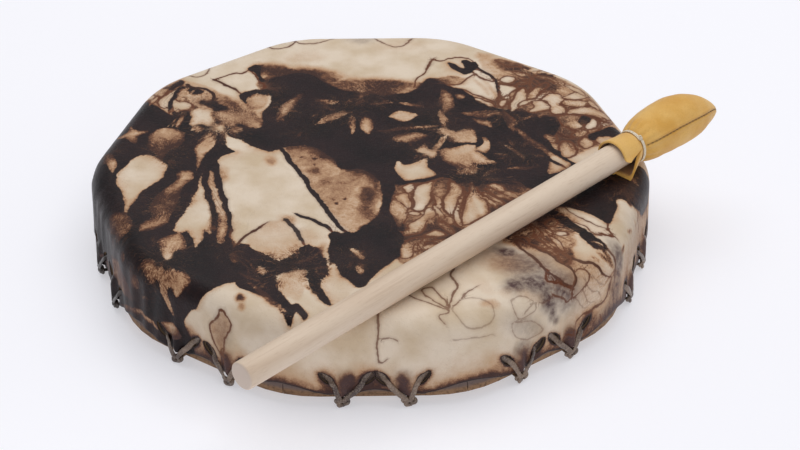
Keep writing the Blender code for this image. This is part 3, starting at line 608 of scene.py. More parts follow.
FOLD_LINES = (
    Stroke((28, 88, 30, 97, 36, 108, 39, 118, 42, 125), 1.3),
    Stroke((41, 123, 46, 120, 52, 123, 58, 125, 64, 122, 67, 117), 1.4),
    Stroke((68, 112, 72, 107, 77, 99, 80, 92, 80, 80, 78, 71), 2.4),
    Stroke((98, 76, 100, 84, 100, 92, 94, 97), 1.6, 0.9),
    Stroke((82, 92, 90, 90, 98, 92, 104, 98), 1.8, 0.9),
    Stroke((112, 52, 120, 54, 130, 52, 138, 47, 143, 43, 146, 44), 1.8),
    Stroke((136, 48, 140, 42, 138, 35, 133, 32), 1.3, 0.9), Stroke((84, 58, 86, 52, 88, 44), 1.8, 0.7),
    Stroke((118, 38, 122, 34, 130, 35), 1.6, 0.9), Stroke((112, 34, 116, 28, 122, 24), 2.0),
    Stroke((104, 106, 112, 108, 122, 104, 132, 96), 1.2, 0.6),
    Stroke((100, 113, 112, 114, 124, 108, 134, 100), 1.0, 0.5), Stroke((100, 12, 106, 2, 114, -9), 2.6),
    Stroke((128, -77, 132, -79, 137, -78), 1.6), Stroke((133, -66, 133, -74, 139, -80), 1.2),
    Stroke((130, -90, 136, -94, 142, -100, 148, -104), 1.8, 0.8),
    Stroke((95, -112, 94, -121, 104, -120, 113, -122), 1.4),
    Stroke((106, -106, 109, -102, 116, -103, 124, -104, 131, -106, 141, -104), 2.0, 0.95),
    Stroke((112, -110, 117, -108, 121, -112, 120, -118, 115, -124, 111, -120), 1.1, 0.85, True),
    Stroke((143, -107, 145, -114, 142, -121, 137, -127, 131, -132, 129, -140), 1.6, 0.85),
    Stroke((100, -127, 106, -128, 112, -128, 114, -123), 1.4, 0.8),
    Stroke((136, -141, 139, -135, 143, -134, 145, -140), 1.1, 0.7),
    Stroke((127, -146, 131, -142, 136, -143, 141, -148, 138, -153, 131, -153), 1.1, 0.8, True),
    Stroke((149, -125, 154, -127, 156, -133, 153, -140), 1.6, 0.8),
    Stroke((118, -114, 126, -117, 134, -116, 141, -118), 0.8, 0.4),
    Stroke((120, -119, 128, -122, 137, -121), 0.8, 0.4),
    Stroke((117, -124, 126, -127, 134, -125), 0.8, 0.35),
    Stroke((122, -110, 130, -112, 138, -110), 0.8, 0.35),
    Stroke((84, -142, 88, -136, 94, -134, 100, -130), 0.8, 0.4),
    Stroke((-116, 90, -120, 82, -122, 74, -123, 66, -122, 56), 3.0),
    Stroke((-122, 90, -126, 84, -129, 77, -130, 71), 1.6),
    Stroke((-114, 93, -110, 90, -103, 88, -98, 83, -96, 77, -97, 71, -101, 70), 2.3),
    Stroke((-137, 77, -134, 70, -132, 64), 1.6, 0.8), Stroke((-135, 86, -132, 78), 1.2, 0.8),
    Stroke((-117, 63, -112, 61, -108, 66), 1.6, 0.8),
    Stroke((-53, 16, -42, -10, -31, -38, -20, -64, -12, -79), 3.2),
    Stroke((-43, -54, -32, -62, -20, -75), 2.6), Stroke((-78, -86, -69, -73, -59, -62), 2.0),
    Stroke((-98, -6, -97, -22, -94, -35, -91, -48, -89.5, -62, -89, -82), 3.0),
    Stroke((-91, 0, -90, -12, -87.5, -28, -83.5, -46, -80.5, -62, -80, -84), 3.4),
    Stroke((-50, -60, -44, -68, -41, -78, -38, -88), 2.6, 0.95),
    Stroke((-97, 99, -86, 106, -79, 108, -74, 113), 1.5),
    Stroke((-97, 99, -90, 93, -84, 88, -78, 79), 2.0),
    Stroke((-74, 112, -70, 100, -65, 91, -68, 84), 1.6),
    Stroke((-107, 126, -113, 121, -115, 111, -109, 103, -103, 106, -101, 116), 1.0, 0.8, True),
    Stroke((-66, 149, -57, 157, -51, 160, -48, 150, -51, 141, -61, 138), 1.1, 0.9, True),
    Stroke((-48, 150, -41, 160, -28, 160, -22, 152, -30, 147, -42, 144), 1.1, 0.8, True),
    Stroke((4, 152, 12, 142, 20, 139, 28, 150, 27, 160, 19, 167, 8, 163), 1.0, 0.8, True),
    Stroke((-97, -162, -98, -166, -100, -169), 1.6, 0.9),
    Stroke((45, -104, 43, -116, 45, -128, 41, -138, 40, -149), 1.3, 0.8),
    Stroke((26, -130, 32, -129, 40, -146, 30, -138), 0.9, 0.75, True),
    Stroke((42, -146, 48, -136, 50, -132, 57, -126), 1.0, 0.7),
    Stroke((18, -134, 29, -142, 40, -149, 34, -152, 38, -157), 0.9, 0.7),
    Stroke((1, -150, 2, -160, 1, -170, 2, -180, 7, -178), 1.2, 0.75),
    Stroke((2, -165, 8, -164, 12, -167), 0.9, 0.6),
    Stroke((42, -150, 46, -140, 56, -138, 64, -146, 60, -156, 50, -158), 0.8, 0.35, True),
    Stroke((74, -138, 84, -134, 90, -140, 80, -146), 0.8, 0.4, True),
    Stroke((78, -150, 92, -146, 104, -148, 96, -156, 84, -158), 0.8, 0.35, True),
    Stroke((44, -166, 56, -163, 68, -160), 0.8, 0.35),
)

# Soft stains: x, y, reach along and across, turn in degrees, amount.
BROWN_STAINS = (
    (-58, 110, 16, 9, -20, 1.0), (-30, 104, 20, 9, -25, 0.9), (-5, 92, 26, 9, 0, 0.9),
    (18, 90, 16, 8, 0, 0.9), (24, 84, 14, 9, 20, 0.8), (-84, 68, 14, 6, -35, 0.6),
    (-80, 52, 14, 9, 0, 0.3), (-33, -9, 8, 7, -35, 1.0), (-27, -20, 8, 11, -20, 0.85),
    (-16, -22, 15, 10, 0, 0.6), (-3, -36, 8, 15, 0, 1.2), (-4, -50, 7, 16, 0, 1.0),
    (-8, -66, 7, 9, 0, 0.7), (-2, -14, 12, 7, 0, 0.5), (-24, -12, 9, 7, 0, 0.7), (-59, 3, 4, 6, 0, 0.7),
    (-31, -97, 4, 14, -15, 1.0), (-36, -76, 10, 7, -40, 0.3), (-87, -12, 4, 9, 0, 0.6),
    (-41, 7, 1.5, 1.3, 0, 1.2), (-38.6, 5.8, 1.4, 1.3, 0, 1.1), (-35.3, 8, 1.2, 1.2, 0, 1.0),
    (-33, 4.5, 1.7, 1.4, 0, 1.3), (-28, 7, 1.6, 1.3, 0, 1.2), (-36, 12.6, 1.3, 1.2, 0, 0.8),
    (-34, -2, 1.6, 1.5, 0, 1.1), (-15, -39, 2.0, 1.8, 0, 1.3), (-21, -44, 1.8, 1.6, 0, 1.3),
    (-22, -40, 1.8, 1.8, 0, 0.9), (-12.5, -32.5, 1.4, 1.3, 0, 0.8), (-17, -58, 1.5, 1.5, 0, 0.9),
    (-88, 74, 12, 5, -40, 0.6), (88, 112, 16, 8, -35, 1.0), (106, 92, 16, 8, -35, 1.0),
    (122, 46, 14, 8, 0, 0.6), (116, 30, 16, 14, 0, 0.7), (124, 16, 10, 10, 0, 0.6),
    (98, 44, 10, 8, 0, 0.9), (56, 4, 10, 9, 0, 0.6), (-118, -50, 6, 12, 0, 0.7),
    (-120, 28, 7, 9, 0, 0.6), (92, -72, 18, 10, -50, 0.7), (84, -84, 12, 8, -40, 0.9),
    (126, -108, 18, 12, 0, 0.5), (138, -138, 18, 14, 0, 0.6), (134, -148, 8, 6, 0, 0.8),
    (66, -34, 12, 9, -50, 0.6), (34, -60, 12, 9, 0, 0.6), (-58, -130, 12, 5, -50, 0.9),
    (60, -128, 6, 10, 30, 0.25), (62, -142, 6, 3, 0, 0.5), (-73, -134.5, 3, 3, 0, 1.15),
    (-72, -139, 2, 3, 20, 0.7), (-125, 100, 12, 6, 40, 0.4), (-132, 92, 14, 6, 60, 0.5),
    (148, -28, 10, 10, 0, 1.0), (-48, -60, 7, 5, -50, 0.7), (74, 126, 6, 5, 0, 0.5),
    (-40, 128, 16, 10, 0, 0.25), (20, 140, 22, 10, 0, 0.2), (74, -104, 16, 12, -30, 0.5),
    (86, -132, 14, 4, -4, 0.35), (72, -132, 6, 5, 30, 0.35), (144, -134, 16, 12, -40, 0.85),
    (134, -148, 8, 6, 0, 1.0), (-117, -148, 7, 10, 0, 0.8), (118, -114, 26, 14, -25, 0.42),
    (150, -112, 22, 26, -30, 0.45), (168, -84, 20, 30, -20, 0.5), (176, -40, 14, 30, 0, 0.5),
)
GREY_STAINS = (
    (-5, 150, 9, 6, 0, 0.5), (-12, 163, 8, 5, 0, 0.5), (84, -108, 20, 14, -30, 0.95),
    (76, -126, 7, 7, 0, 1.3), (88, -123, 14, 8, -10, 1.2), (98, -132, 9, 6, -30, 1.3),
    (105, -137, 6, 4, -40, 1.1), (113, -133, 2.5, 2.5, 0, 0.8), (111, -140, 3, 3, 0, 1.0),
    (106, -124, 9, 2.6, -6, 1.2), (163, -118, 10, 24, -38, 1.25), (-122, -160, 10, 16, -20, 0.9),
    # The stains at -160, -87 and -184, -60 are partly grey dye and partly the painted reflection of the
    # left wall's purple-grey sheen.
    (-160, -87, 34, 14, -70, 0.9), (-184, -60, 30, 14, -64, 0.9), (74, -95, 8, 5, -20, 1.3),
    (142, -92, 14, 7, -40, 1.1), (155, -105, 16, 10, -40, 0.9), (90, -150, 18, 7, 0, 0.5),
    (96, -166, 9, 9, 0, 1.0), (170, -60, 26, 40, -15, 0.35), (185, -100, 22, 14, -50, 0.9),
    (-90, -151, 7, 12, -35, 0.45), (104, -122, 20, 11, -28, 1.0), (-148, 92, 12, 8, 50, 0.6),
    (150, 90, 20, 40, 20, 0.2),
)

# Tied places: x, y, reach, force.
TIE_POINTS = (
    (-92, 42, 30, 1.0), (-108, 70, 22, 0.9), (-117, -98, 30, 0.6), (-45, -108, 34, 1.0),
    (-56, -61, 16, 0.8), (33, 12, 18, 0.8), (48, 36, 22, 0.9), (62, -20, 30, 1.0), (90, -66, 36, 1.0),
    (30, -80, 22, 0.9), (84, 60, 26, 0.9), (104, 96, 28, 1.0), (146, -28, 24, 1.0), (-148, -62, 20, 0.9),
    (-62, 88, 16, 1.0), (-80, 54, 18, 0.9), (-20, 60, 24, 0.9), (126, 52, 26, 0.9), (-122, 12, 22, 1.0),
    (-160, 18, 20, 0.7), (-130, 92, 20, 0.9), (-52, 62, 20, 0.7), (2, 78, 24, 0.8), (14, -60, 20, 0.5),
    (-10, -100, 20, 0.6), (-96, -50, 30, 0.7), (-118, -44, 22, 0.9), (88, 10, 22, 0.8),
    (110, -44, 20, 0.9), (140, -100, 30, 0.9), (40, 60, 18, 0.7), (-80, -90, 18, 0.6),
    (-145, -110, 26, 0.5), (20, 30, 18, 0.6), (-40, 40, 22, 0.4), (160, -60, 26, 0.5),
    (120, 24, 20, 0.9),
)

# The far side, which is plainer: a few soft masses and leaves that run up from the wall.
BACK_MASSES = tuple(Patch(points, tone=Tone.DARK) for points in (
    (40, 196, 62, 178, 88, 168, 110, 172, 120, 190, 96, 214, 60, 216),
    (-140, 150, -120, 148, -104, 158, -96, 176, -112, 190, -140, 176),
    (168, 62, 180, 40, 200, 30, 222, 40, 214, 80, 186, 84),
))
BACK_PALE = (
    Petal(74, 190, 26, 9, 60, 0.05, 0.5), Petal(96, 188, 22, 7, 110, 0.05, 0.6),
    Petal(-118, 166, 20, 7, 130, 0.05, 0.5), Petal(192, 58, 22, 8, 20, 0.05, 0.5),
)
BACK_STAINS = (
    (76, 170, 34, 8, -15, 0.9), (-118, 150, 24, 8, 30, 0.9), (178, 66, 10, 22, 10, 0.9),
    (-30, 190, 40, 14, 0, 0.35), (0, 205, 60, 8, 0, 0.5),
)


def distance_to(outline: Array, places: Array) -> Array:
    """Signed distance of places to a closed outline.

    Args:
        outline: corner points of the outline in order.
        places: the places to measure, one row each.

    Returns:
        The distances, more than 0 inside.
    """
    nearest = np.full(len(places), 1e9)
    inside = np.zeros(len(places), bool)
    for start, end in zip(outline, np.roll(outline, -1, axis=0)):
        edge = end - start
        rel = places - start
        share = np.clip(rel @ edge / max(edge @ edge, 1e-9), 0, 1)
        nearest = np.minimum(nearest, ((rel - share[:, None] * edge) ** 2).sum(axis=1))
        if start[1] != end[1]:
            spans = (places[:, 1] < start[1]) != (places[:, 1] < end[1])
            inside ^= spans & (rel[:, 0] < edge[0] * rel[:, 1] / edge[1])
    return np.where(inside, 1.0, -1.0) * np.sqrt(nearest)


@dataclass
class DyeField:
    """What the dye does at places on the spread hide; each array has one row for each place."""

    depth: Array
    brown: Array
    grey: Array
    line: Array
    ink: Array
    ray: Array


@dataclass(frozen=True)
class Dyeing:
    """The tied and dyed pattern, worked out over the spread hide in millimetres."""

    masses: tuple[Patch, ...] = DARK_MASSES + BACK_MASSES
    stained: tuple[Patch, ...] = BROWN_MASSES
    pale: tuple[Patch | Petal, ...] = PALE_PATCHES + BACK_PALE
    lines: tuple[Stroke, ...] = FOLD_LINES
    stains: tuple[Wash, ...] = (
        *(Wash(*row) for row in BROWN_STAINS + BACK_STAINS),
        *(Wash(*row, stain=Stain.GREY) for row in GREY_STAINS))
    ties: tuple[Burst, ...] = tuple(Burst(*row) for row in TIE_POINTS)
    far: float = 10.0
    wander: float = 0.55
    wander_size: float = 15.0
    tuft_share: float = 0.32
    tuft_seed: int = 14

    def tufts(self) -> list[Petal]:
        """Thin leaves of lighter hide that fan out from the tie points.

        Returns:
            The leaves, in the order in which they are laid.
        """
        draw = np.random.default_rng(self.tuft_seed)
        found = []
        for tie in self.ties:
            for _ in range(round(self.tuft_share * tie.reach * tie.force)):
                turn = draw.uniform(0, TURN)
                away = tie.reach * draw.uniform(0.2, 0.62)
                length = tie.reach * draw.uniform(0.2, 0.5)
                found.append(Petal(tie.x + away * math.cos(turn), tie.y + away * math.sin(turn),
                                   length, draw.uniform(0.8, 2.0),
                                   math.degrees(turn) + draw.uniform(-14, 14),
                                   draw.uniform(-0.08, 0.08), draw.uniform(0.75, 1.05)))
        return found

    def near(self, shape: Array, places: Array, margin: float) -> Array:
        """Numbers of the places in the box around a shape, grown by a margin."""
        low, high = shape.min(axis=0) - margin, shape.max(axis=0) + margin
        return np.flatnonzero(np.all((places > low) & (places < high), axis=1))

    def wandered(self, places: Array) -> Array:
        """Places pushed about a little, so that no edge is too even.

        Args:
            places: the places.

        Returns:
            The moved places.
        """
        push = [ripple(places, self.wander_size, seed) * self.wander
                + ripple(places, self.wander_size / 3, seed + 5) * self.wander / 3
                for seed in (11, 12)]
        return places + np.column_stack(push)

    def patches(self, places: Array, line: Array, ink: Array) -> tuple[Array, Array]:
        """Work out the patches.

        Args:
            places: the places.
            line: line array, into which the rims of pale patches are written.
            ink: ink of the lines, likewise.

        Returns:
            Depth into the dark dye, in millimetres, and the brown of the patches.
        """
        depth = np.full(len(places), -self.far)
        brown = np.zeros(len(places))
        for patch in (*self.masses, *self.stained, *self.tufts(), *self.pale):
            outline = patch.outline()
            some = self.near(outline, places, self.far)
            inside = np.clip(distance_to(outline, places[some]), -self.far, self.far)
            if patch.tone is Tone.DARK:
                depth[some] = np.maximum(depth[some], inside)
                continue
            cover = ease(-2.0, 1.0, inside)
            if patch.tone is Tone.BROWN:
                depth[some] = np.maximum(depth[some], np.minimum(inside, 0) - 1.6)
                brown[some] = np.maximum(brown[some], patch.tan * cover)
                continue
            depth[some] = np.minimum(depth[some], -inside)
            brown[some] = brown[some] * (1 - cover) + patch.tan * cover
            half = 0.5 * patch.rim
            within = half - np.abs(inside + half)
            under = np.where(inside > 0.4, -9.0, line[some, 2])
            line[some, 2] = under
            better = (within > under) & (patch.rim > 0)
            rows = some[better]
            line[rows] = np.column_stack([inside + half, np.full(len(some), half), within])[better]
            ink[rows] = 0.92
        return depth, brown

    def strokes(self, places: Array, line: Array, ink: Array) -> None:
        """Write the nearest fold line: place across it, its half width, how far inside, its ink.

        Args:
            places: the places.
            line: line array, written where a line is nearer.
            ink: ink of the lines, likewise.
        """
        for stroke in self.lines:
            path = stroke.path()
            some = self.near(path, places, 4.0)
            ends = np.roll(path, -1, axis=0) if stroke.closed else path[1:]
            count = len(ends)
            for number, (start, end) in enumerate(zip(path, ends)):
                edge = end - start
                length = math.hypot(*edge)
                if length == 0:
                    continue
                rel = places[some] - start
                share = np.clip(rel @ edge / length ** 2, 0, 1)
                gap = np.hypot(*(rel - share[:, None] * edge).T)
                side = np.sign(edge[0] * rel[:, 1] - edge[1] * rel[:, 0])
                along = (number + share) / count
                taper = 1.0 if stroke.closed else np.minimum(1.0, 0.25 + 3.0 * (1 - along))
                half = 0.5 * stroke.width * taper
                better = half - gap > line[some, 2]
                rows = some[better]
                line[rows, 0] = (side * gap)[better]
                line[rows, 1] = (half * np.ones(len(some)))[better]
                line[rows, 2] = (half - gap)[better]
                ink[rows] = stroke.ink

    def washes(self, places: Array) -> tuple[Array, Array]:
        """Amounts of the soft brown and grey stains.

        Args:
            places: the places.

        Returns:
            The brown and the grey amount for each place.
        """
        amount = np.zeros((2, len(places)))
        for wash in self.stains:
            angle = math.radians(wash.turn)
            rel = places - (wash.x, wash.y)
            along = (rel[:, 0] * math.cos(angle) + rel[:, 1] * math.sin(angle)) / wash.along
            across = (rel[:, 1] * math.cos(angle) - rel[:, 0] * math.sin(angle)) / wash.across
            spread = wash.amount * np.exp(-(along ** 2 + across ** 2) ** 1.5)
            amount[wash.stain.value] = np.maximum(amount[wash.stain.value], spread)
        return amount[0], amount[1]

    def rays(self, places: Array) -> Array:
        """Way from the closest tie point to each place, and its force there.

        Args:
            places: the places.

        Returns:
            Two numbers for the way and one for the force.
        """
        ray = np.zeros((len(places), 3))
        closest = np.full(len(places), 1e9)
        for tie in self.ties:
            rel = places - (tie.x, tie.y)
            away = np.hypot(*rel.T) / tie.reach
            better = away < closest
            closest[better] = away[better]
            ray[better, :2] = rel[better]
            ray[better, 2] = (tie.force * (1 - ease(0.35, 1.0, away)))[better]
        return ray

    def field(self, skin: Array) -> DyeField:
        """The dye at places on the spread hide.

        Args:
            skin: the places, in millimetres.

        Returns:
            The dye's depth, stains, lines and streaks there.
        """
        places = self.wandered(skin)
        line = np.tile((9.0, 0.0, -9.0), (len(places), 1))
        ink = np.zeros(len(places))
        depth, tan = self.patches(places, line, ink)
        self.strokes(places, line, ink)
        brown, grey = self.washes(places)
        ray = self.rays(skin)
        tan *= 0.8 + 0.5 * ray[:, 2]
        return DyeField(depth, np.maximum(tan, brown), grey, line, ink, ray)


# Meshes


@dataclass
class Shell:
    """Points in millimetres and faces of a piece, gathered before they become one mesh."""

    places: list[Array] = field(default_factory=list)
    faces: list[Face] = field(default_factory=list)
    count: int = 0

    def add(self, places: Array, faces: list[Face]) -> int:
        """Add a part.

        Args:
            places: the part's points.
            faces: the part's faces, counted from its own first point.

        Returns:
            The number of the part's first point.
        """
        first = self.count
        self.places.append(np.asarray(places, float))
        self.faces.extend(tuple(first + i for i in face) for face in faces)
        self.count += len(places)
        return first

    def mesh(self, name: str) -> Mesh:
        """The gathered part as a mesh in metres, shaded smooth.

        Args:
            name: its name.

        Returns:
            The mesh.
        """
        mesh = bpy.data.meshes.new(name)
        mesh.from_pydata((np.vstack(self.places) * MM).tolist(), [], self.faces)
        mesh.update()
        mesh.shade_smooth()
        return mesh


def in_scene(name: str, data: bpy.types.ID) -> Object:
    """A new object in the scene.

    Args:
        name: its name.
        data: its mesh, light or camera.

    Returns:
        The object.
    """
    thing = bpy.data.objects.new(name, data)
    bpy.context.scene.collection.objects.link(thing)
    return thing


def add_piece(mesh: Mesh, name: str, *materials: Material) -> Object:
    """An object for a mesh, in the scene.

    Args:
        mesh: its mesh.
        name: the object's name.
        materials: what fills its slots.

    Returns:
        The new object.
    """
    piece = in_scene(name, mesh)
    if not mesh.materials:
        for material in materials:
            mesh.materials.append(material)
    return piece


def applied(piece: Object, name: str) -> Mesh:
    """A plain mesh of an object as its modifiers leave it; the object itself is removed.

    Args:
        piece: the object.
        name: name of the mesh.

    Returns:
        The mesh.
    """
    graph = bpy.context.evaluated_depsgraph_get()
    graph.update()
    mesh = bpy.data.meshes.new_from_object(piece.evaluated_get(graph))
    mesh.name = name
    bpy.data.objects.remove(piece, do_unlink=True)
    return mesh


def write_values(mesh: Mesh, name: str, values: Array) -> None:
    """Write one number or one vector for each point of a mesh.

    Args:
        mesh: the mesh.
        name: name of the attribute.
        values: one row for each point.
    """
    kind, key = ("FLOAT_VECTOR", "vector") if np.ndim(values) > 1 else ("FLOAT", "value")
    layer = mesh.attributes.new(name, kind, "POINT")
    layer.data.foreach_set(key, np.ascontiguousarray(values, float).ravel())


def read_places(mesh: Mesh) -> Array:
    """The points of a mesh.

    Args:
        mesh: the mesh.

    Returns:
        The places, in millimetres.
    """
    places = np.zeros(len(mesh.vertices) * 3)
    mesh.vertices.foreach_get("co", places)
    return places.reshape(-1, 3) / MM


def write_places(mesh: Mesh, places: Array) -> None:
    """Move the points of a mesh to places in millimetres."""
    mesh.vertices.foreach_set("co", (places * MM).ravel())
    mesh.update()


def cut_out(piece: Object, cutter: Mesh, name: str) -> Mesh:
    """A mesh of a piece with another shape cut out of it; the piece is removed.

    Args:
        piece: the piece.
        cutter: what is cut out.
        name: name of the new mesh.

    Returns:
        The cut mesh.
    """
    tool = add_piece(cutter, "cutter")
    cut = piece.modifiers.new("cut", "BOOLEAN")
    cut.operation = "DIFFERENCE"
    cut.object = tool
    cut.solver = "MANIFOLD"
    mesh = applied(piece, name)
    bpy.data.objects.remove(tool, do_unlink=True)
    return mesh


def band(lower: range, upper: range) -> list[Face]:
    """Faces between two closed rings that may have unlike numbers of points.

    Args:
        lower: point numbers of the first ring.
        upper: point numbers of the second ring, which starts at the same angle.

    Returns:
        The faces, which look out when the rings run counter-clockwise and upper is the inner one.
    """
    many, few = len(lower), len(upper)
    if many == few:
        return [(lower[i], lower[(i + 1) % many], upper[(i + 1) % few], upper[i])
                for i in range(many)]
    faces = []
    i = j = 0
    while i < many or j < few:
        if j >= few or (i < many and (i + 1) * few <= (j + 1) * many):
            faces.append((lower[i % many], lower[(i + 1) % many], upper[j % few]))
            i += 1
        else:
            faces.append((lower[i % many], upper[(j + 1) % few], upper[j % few]))
            j += 1
    return faces


def lofted(rings: list[Array], cap: bool = True) -> tuple[Array, list[Face]]:
    """Places and faces of a skin through rings of equal numbers of points.

    Args:
        rings: the rings, each running counter-clockwise as seen from the last one.
        cap: whether both ends are closed.

    Returns:
        The places and the faces.
    """
    count = len(rings[0])
    faces = []
    for number in range(len(rings) - 1):
        here = range(number * count, (number + 1) * count)
        faces += band(here, range((number + 1) * count, (number + 2) * count))
    if cap:
        faces.append(tuple(reversed(range(count))))
        faces.append(tuple(range((len(rings) - 1) * count, len(rings) * count)))
    return np.vstack(rings), faces


# Shader nodes


class Socket(Enum):
    """Kinds of group socket."""

    NUMBER = "NodeSocketFloat"
    WHOLE = "NodeSocketInt"
    VECTOR = "NodeSocketVector"
    SHAPE = "NodeSocketGeometry"
    MATERIAL = "NodeSocketMaterial"


@dataclass
class Weaver:
    """Adds shader nodes to a tree and joins them."""

    tree: NodeTree

    def node(self, kind: str, **settings: object) -> Node:
        """A new node of a kind, with its settings.

        Args:
            kind: Blender's name of the kind.
            settings: properties of the node.

        Returns:
            The node.
        """
        node = self.tree.nodes.new(kind)
        for name, value in settings.items():
            setattr(node, name, value)
        return node

    def filled(self, kind: str, inputs: dict[str, object], **settings: object) -> Node:
        """A new node with its named inputs fed.

        Args:
            kind: Blender's name of the kind.
            inputs: what goes into its inputs.
            settings: properties of the node.

        Returns:
            The node.
        """
        node = self.node(kind, **settings)
        for name, given in inputs.items():
            self.feed(node.inputs[name], given)
        return node

    def feed(self, socket: NodeSocket, value: object) -> None:
        """Join a socket to an output, or set its value.

        Args:
            socket: the socket.
            value: an output, a number, or a tuple.
        """
        if isinstance(value, NodeSocket):
            self.tree.links.new(value, socket)
        elif isinstance(value, (int, float)) and socket.type in {"VECTOR", "RGBA"}:
            socket.default_value = (value,) * len(socket.default_value)
        else:
            socket.default_value = value

    def math(self, operation: str, *values: object, clamp: bool = False) -> NodeSocket:
        """The result of a sum on one to three numbers.

        Args:
            operation: Blender's name of the sum.
            values: numbers or outputs.
            clamp: whether the result is held between 0 and 1.

        Returns:
            The result.
        """
        node = self.node("ShaderNodeMath", operation=operation, use_clamp=clamp)
        for socket, value in zip(node.inputs, values):
            self.feed(socket, value)
        return node.outputs[0]

    def times(self, first: object, second: object, clamp: bool = False) -> NodeSocket:
        """Two numbers multiplied."""
        return self.math("MULTIPLY", first, second, clamp=clamp)

    def onto(self, value: object, factor: object, base: object, clamp: bool = False) -> NodeSocket:
        """A number times a factor, added to a base."""
        return self.math("MULTIPLY_ADD", value, factor, base, clamp=clamp)

    def swing(self, noise: NodeSocket, factor: float, base: object) -> NodeSocket:
        """Noise about its middle times a factor, added to a base."""
        return self.onto(self.math("SUBTRACT", noise, 0.5), factor, base)

    def parts(self, vector: NodeSocket) -> list[NodeSocket]:
        """The three numbers of a vector.

        Args:
            vector: the vector.

        Returns:
            X, Y and Z.
        """
        node = self.node("ShaderNodeSeparateXYZ")
        self.feed(node.inputs[0], vector)
        return list(node.outputs)

    def joined(self, *numbers: object) -> NodeSocket:
        """A vector of three numbers.

        Args:
            numbers: X, Y and Z; those left out are 0.

        Returns:
            The vector.
        """
        node = self.node("ShaderNodeCombineXYZ")
        for socket, number in zip(node.inputs, numbers):
            self.feed(socket, number)
        return node.outputs[0]

    def read(self, name: str, output: str = "Vector") -> NodeSocket:
        """An attribute of the mesh."""
        return self.node("ShaderNodeAttribute", attribute_name=name).outputs[output]

    def local(self) -> NodeSocket:
        """Object coordinates."""
        return self.node("ShaderNodeTexCoord").outputs["Object"]

    def dress(self, shader: Node, colour: NodeSocket, normal: NodeSocket,
              roughness: NodeSocket | None = None) -> None:
        """Feed a shader.

        Args:
            shader: the shader.
            colour: its base colour.
            normal: its normal.
            roughness: its roughness, where that varies.
        """
        self.feed(shader.inputs["Base Color"], colour)
        self.feed(shader.inputs["Normal"], normal)
        if roughness is not None:
            self.feed(shader.inputs["Roughness"], roughness)

    def vector(self, operation: str, first: object, second: object = 0.0) -> NodeSocket:
        """The result of a sum on vectors.

        Args:
            operation: Blender's name of the sum.
            first: a vector.
            second: another one, or a number for SCALE.

        Returns:
            The result.
        """
        node = self.node("ShaderNodeVectorMath", operation=operation)
        self.feed(node.inputs[0], first)
        self.feed(node.inputs["Scale"] if operation == "SCALE" else node.inputs[1], second)
        return node.outputs["Value" if operation in {"LENGTH", "DOT_PRODUCT"} else "Vector"]

    def steps(self, value: object, low: float, high: float, start: float = 0.0,
              end: float = 1.0, smooth: bool = False) -> NodeSocket:
        """A number taken from one range to another and held there.

        Args:
            value: the number.
            low: where the first range starts.
            high: where it ends.
            start: the result at low.
            end: the result at high.
            smooth: whether it eases in and out.

        Returns:
            The result.
        """
        kind = "SMOOTHSTEP" if smooth else "LINEAR"
        node = self.node("ShaderNodeMapRange", interpolation_type=kind)
        for socket, given in zip(node.inputs, (value, low, high, start, end)):
            self.feed(socket, given)
        return node.outputs[0]

    def mix(self, share: object, first: object, second: object,
            blend: str = "MIX") -> NodeSocket:
        """Two colours mixed.

        Args:
            share: how much of the second.
            first: a colour.
            second: the other one.
            blend: how they mix.

        Returns:
            The colour.
        """
        node = self.node("ShaderNodeMix", data_type="RGBA", blend_type=blend)
        for place, given in ((0, share), (6, first), (7, second)):
            self.feed(node.inputs[place], given)
        return node.outputs[2]

    def noise(self, vector: object, scale: float, detail: float = 2.0, rough: float = 0.5,
              warp: float = 0.0) -> NodeSocket:
        """Noise from about 0.25 to 0.75.

        Args:
            vector: where it is read.
            scale: waves for each unit.
            detail: how many finer waves.
            rough: how strong those are.
            warp: how much it is bent.

        Returns:
            The noise.
        """
        return self.filled("ShaderNodeTexNoise", {
            "Vector": vector, "Scale": scale, "Detail": detail, "Roughness": rough,
            "Distortion": warp}).outputs[0]

    def cells(self, vector: object, scale: float, feature: str = "F1") -> NodeSocket:
        """Distance inside Voronoi cells.

        Args:
            vector: where they are read.
            scale: cells for each unit.
            feature: what is measured.

        Returns:
            The distance.
        """
        inputs = {"Vector": vector, "Scale": scale}
        return self.filled("ShaderNodeTexVoronoi", inputs, feature=feature).outputs["Distance"]

    def place(self, turn: float = 0.0, middle: Spot = (0.0, 0.0, 0.0)) -> NodeSocket:
        """Object coordinates about a middle, turned about Z.

        Args:
            turn: angle about Z.
            middle: the new origin, in metres.

        Returns:
            The coordinates.
        """
        moved = self.vector("SUBTRACT", self.local(), middle)
        inputs = {"Vector": moved, "Rotation": (0.0, 0.0, turn)}
        return self.filled("ShaderNodeMapping", inputs).outputs[0]

    def bump(self, height: object, distance: float, strength: float = 1.0) -> NodeSocket:
        """A normal from a height.

        Args:
            height: the height.
            distance: how high 1 is, in metres.
            strength: how strongly it shows.

        Returns:
            The normal.
        """
        inputs = {"Height": height, "Distance": distance, "Strength": strength}
        return self.filled("ShaderNodeBump", inputs).outputs[0]

    def group(self, tree: NodeTree, **inputs: object) -> Node:
        """A group node with its named inputs fed; an underscore stands for a space.

        Args:
            tree: the group.
            inputs: what goes into its inputs.

        Returns:
            The node.
        """
        named = {name.replace("_", " "): given for name, given in inputs.items()}
        return self.filled("ShaderNodeGroup", named, node_tree=tree)


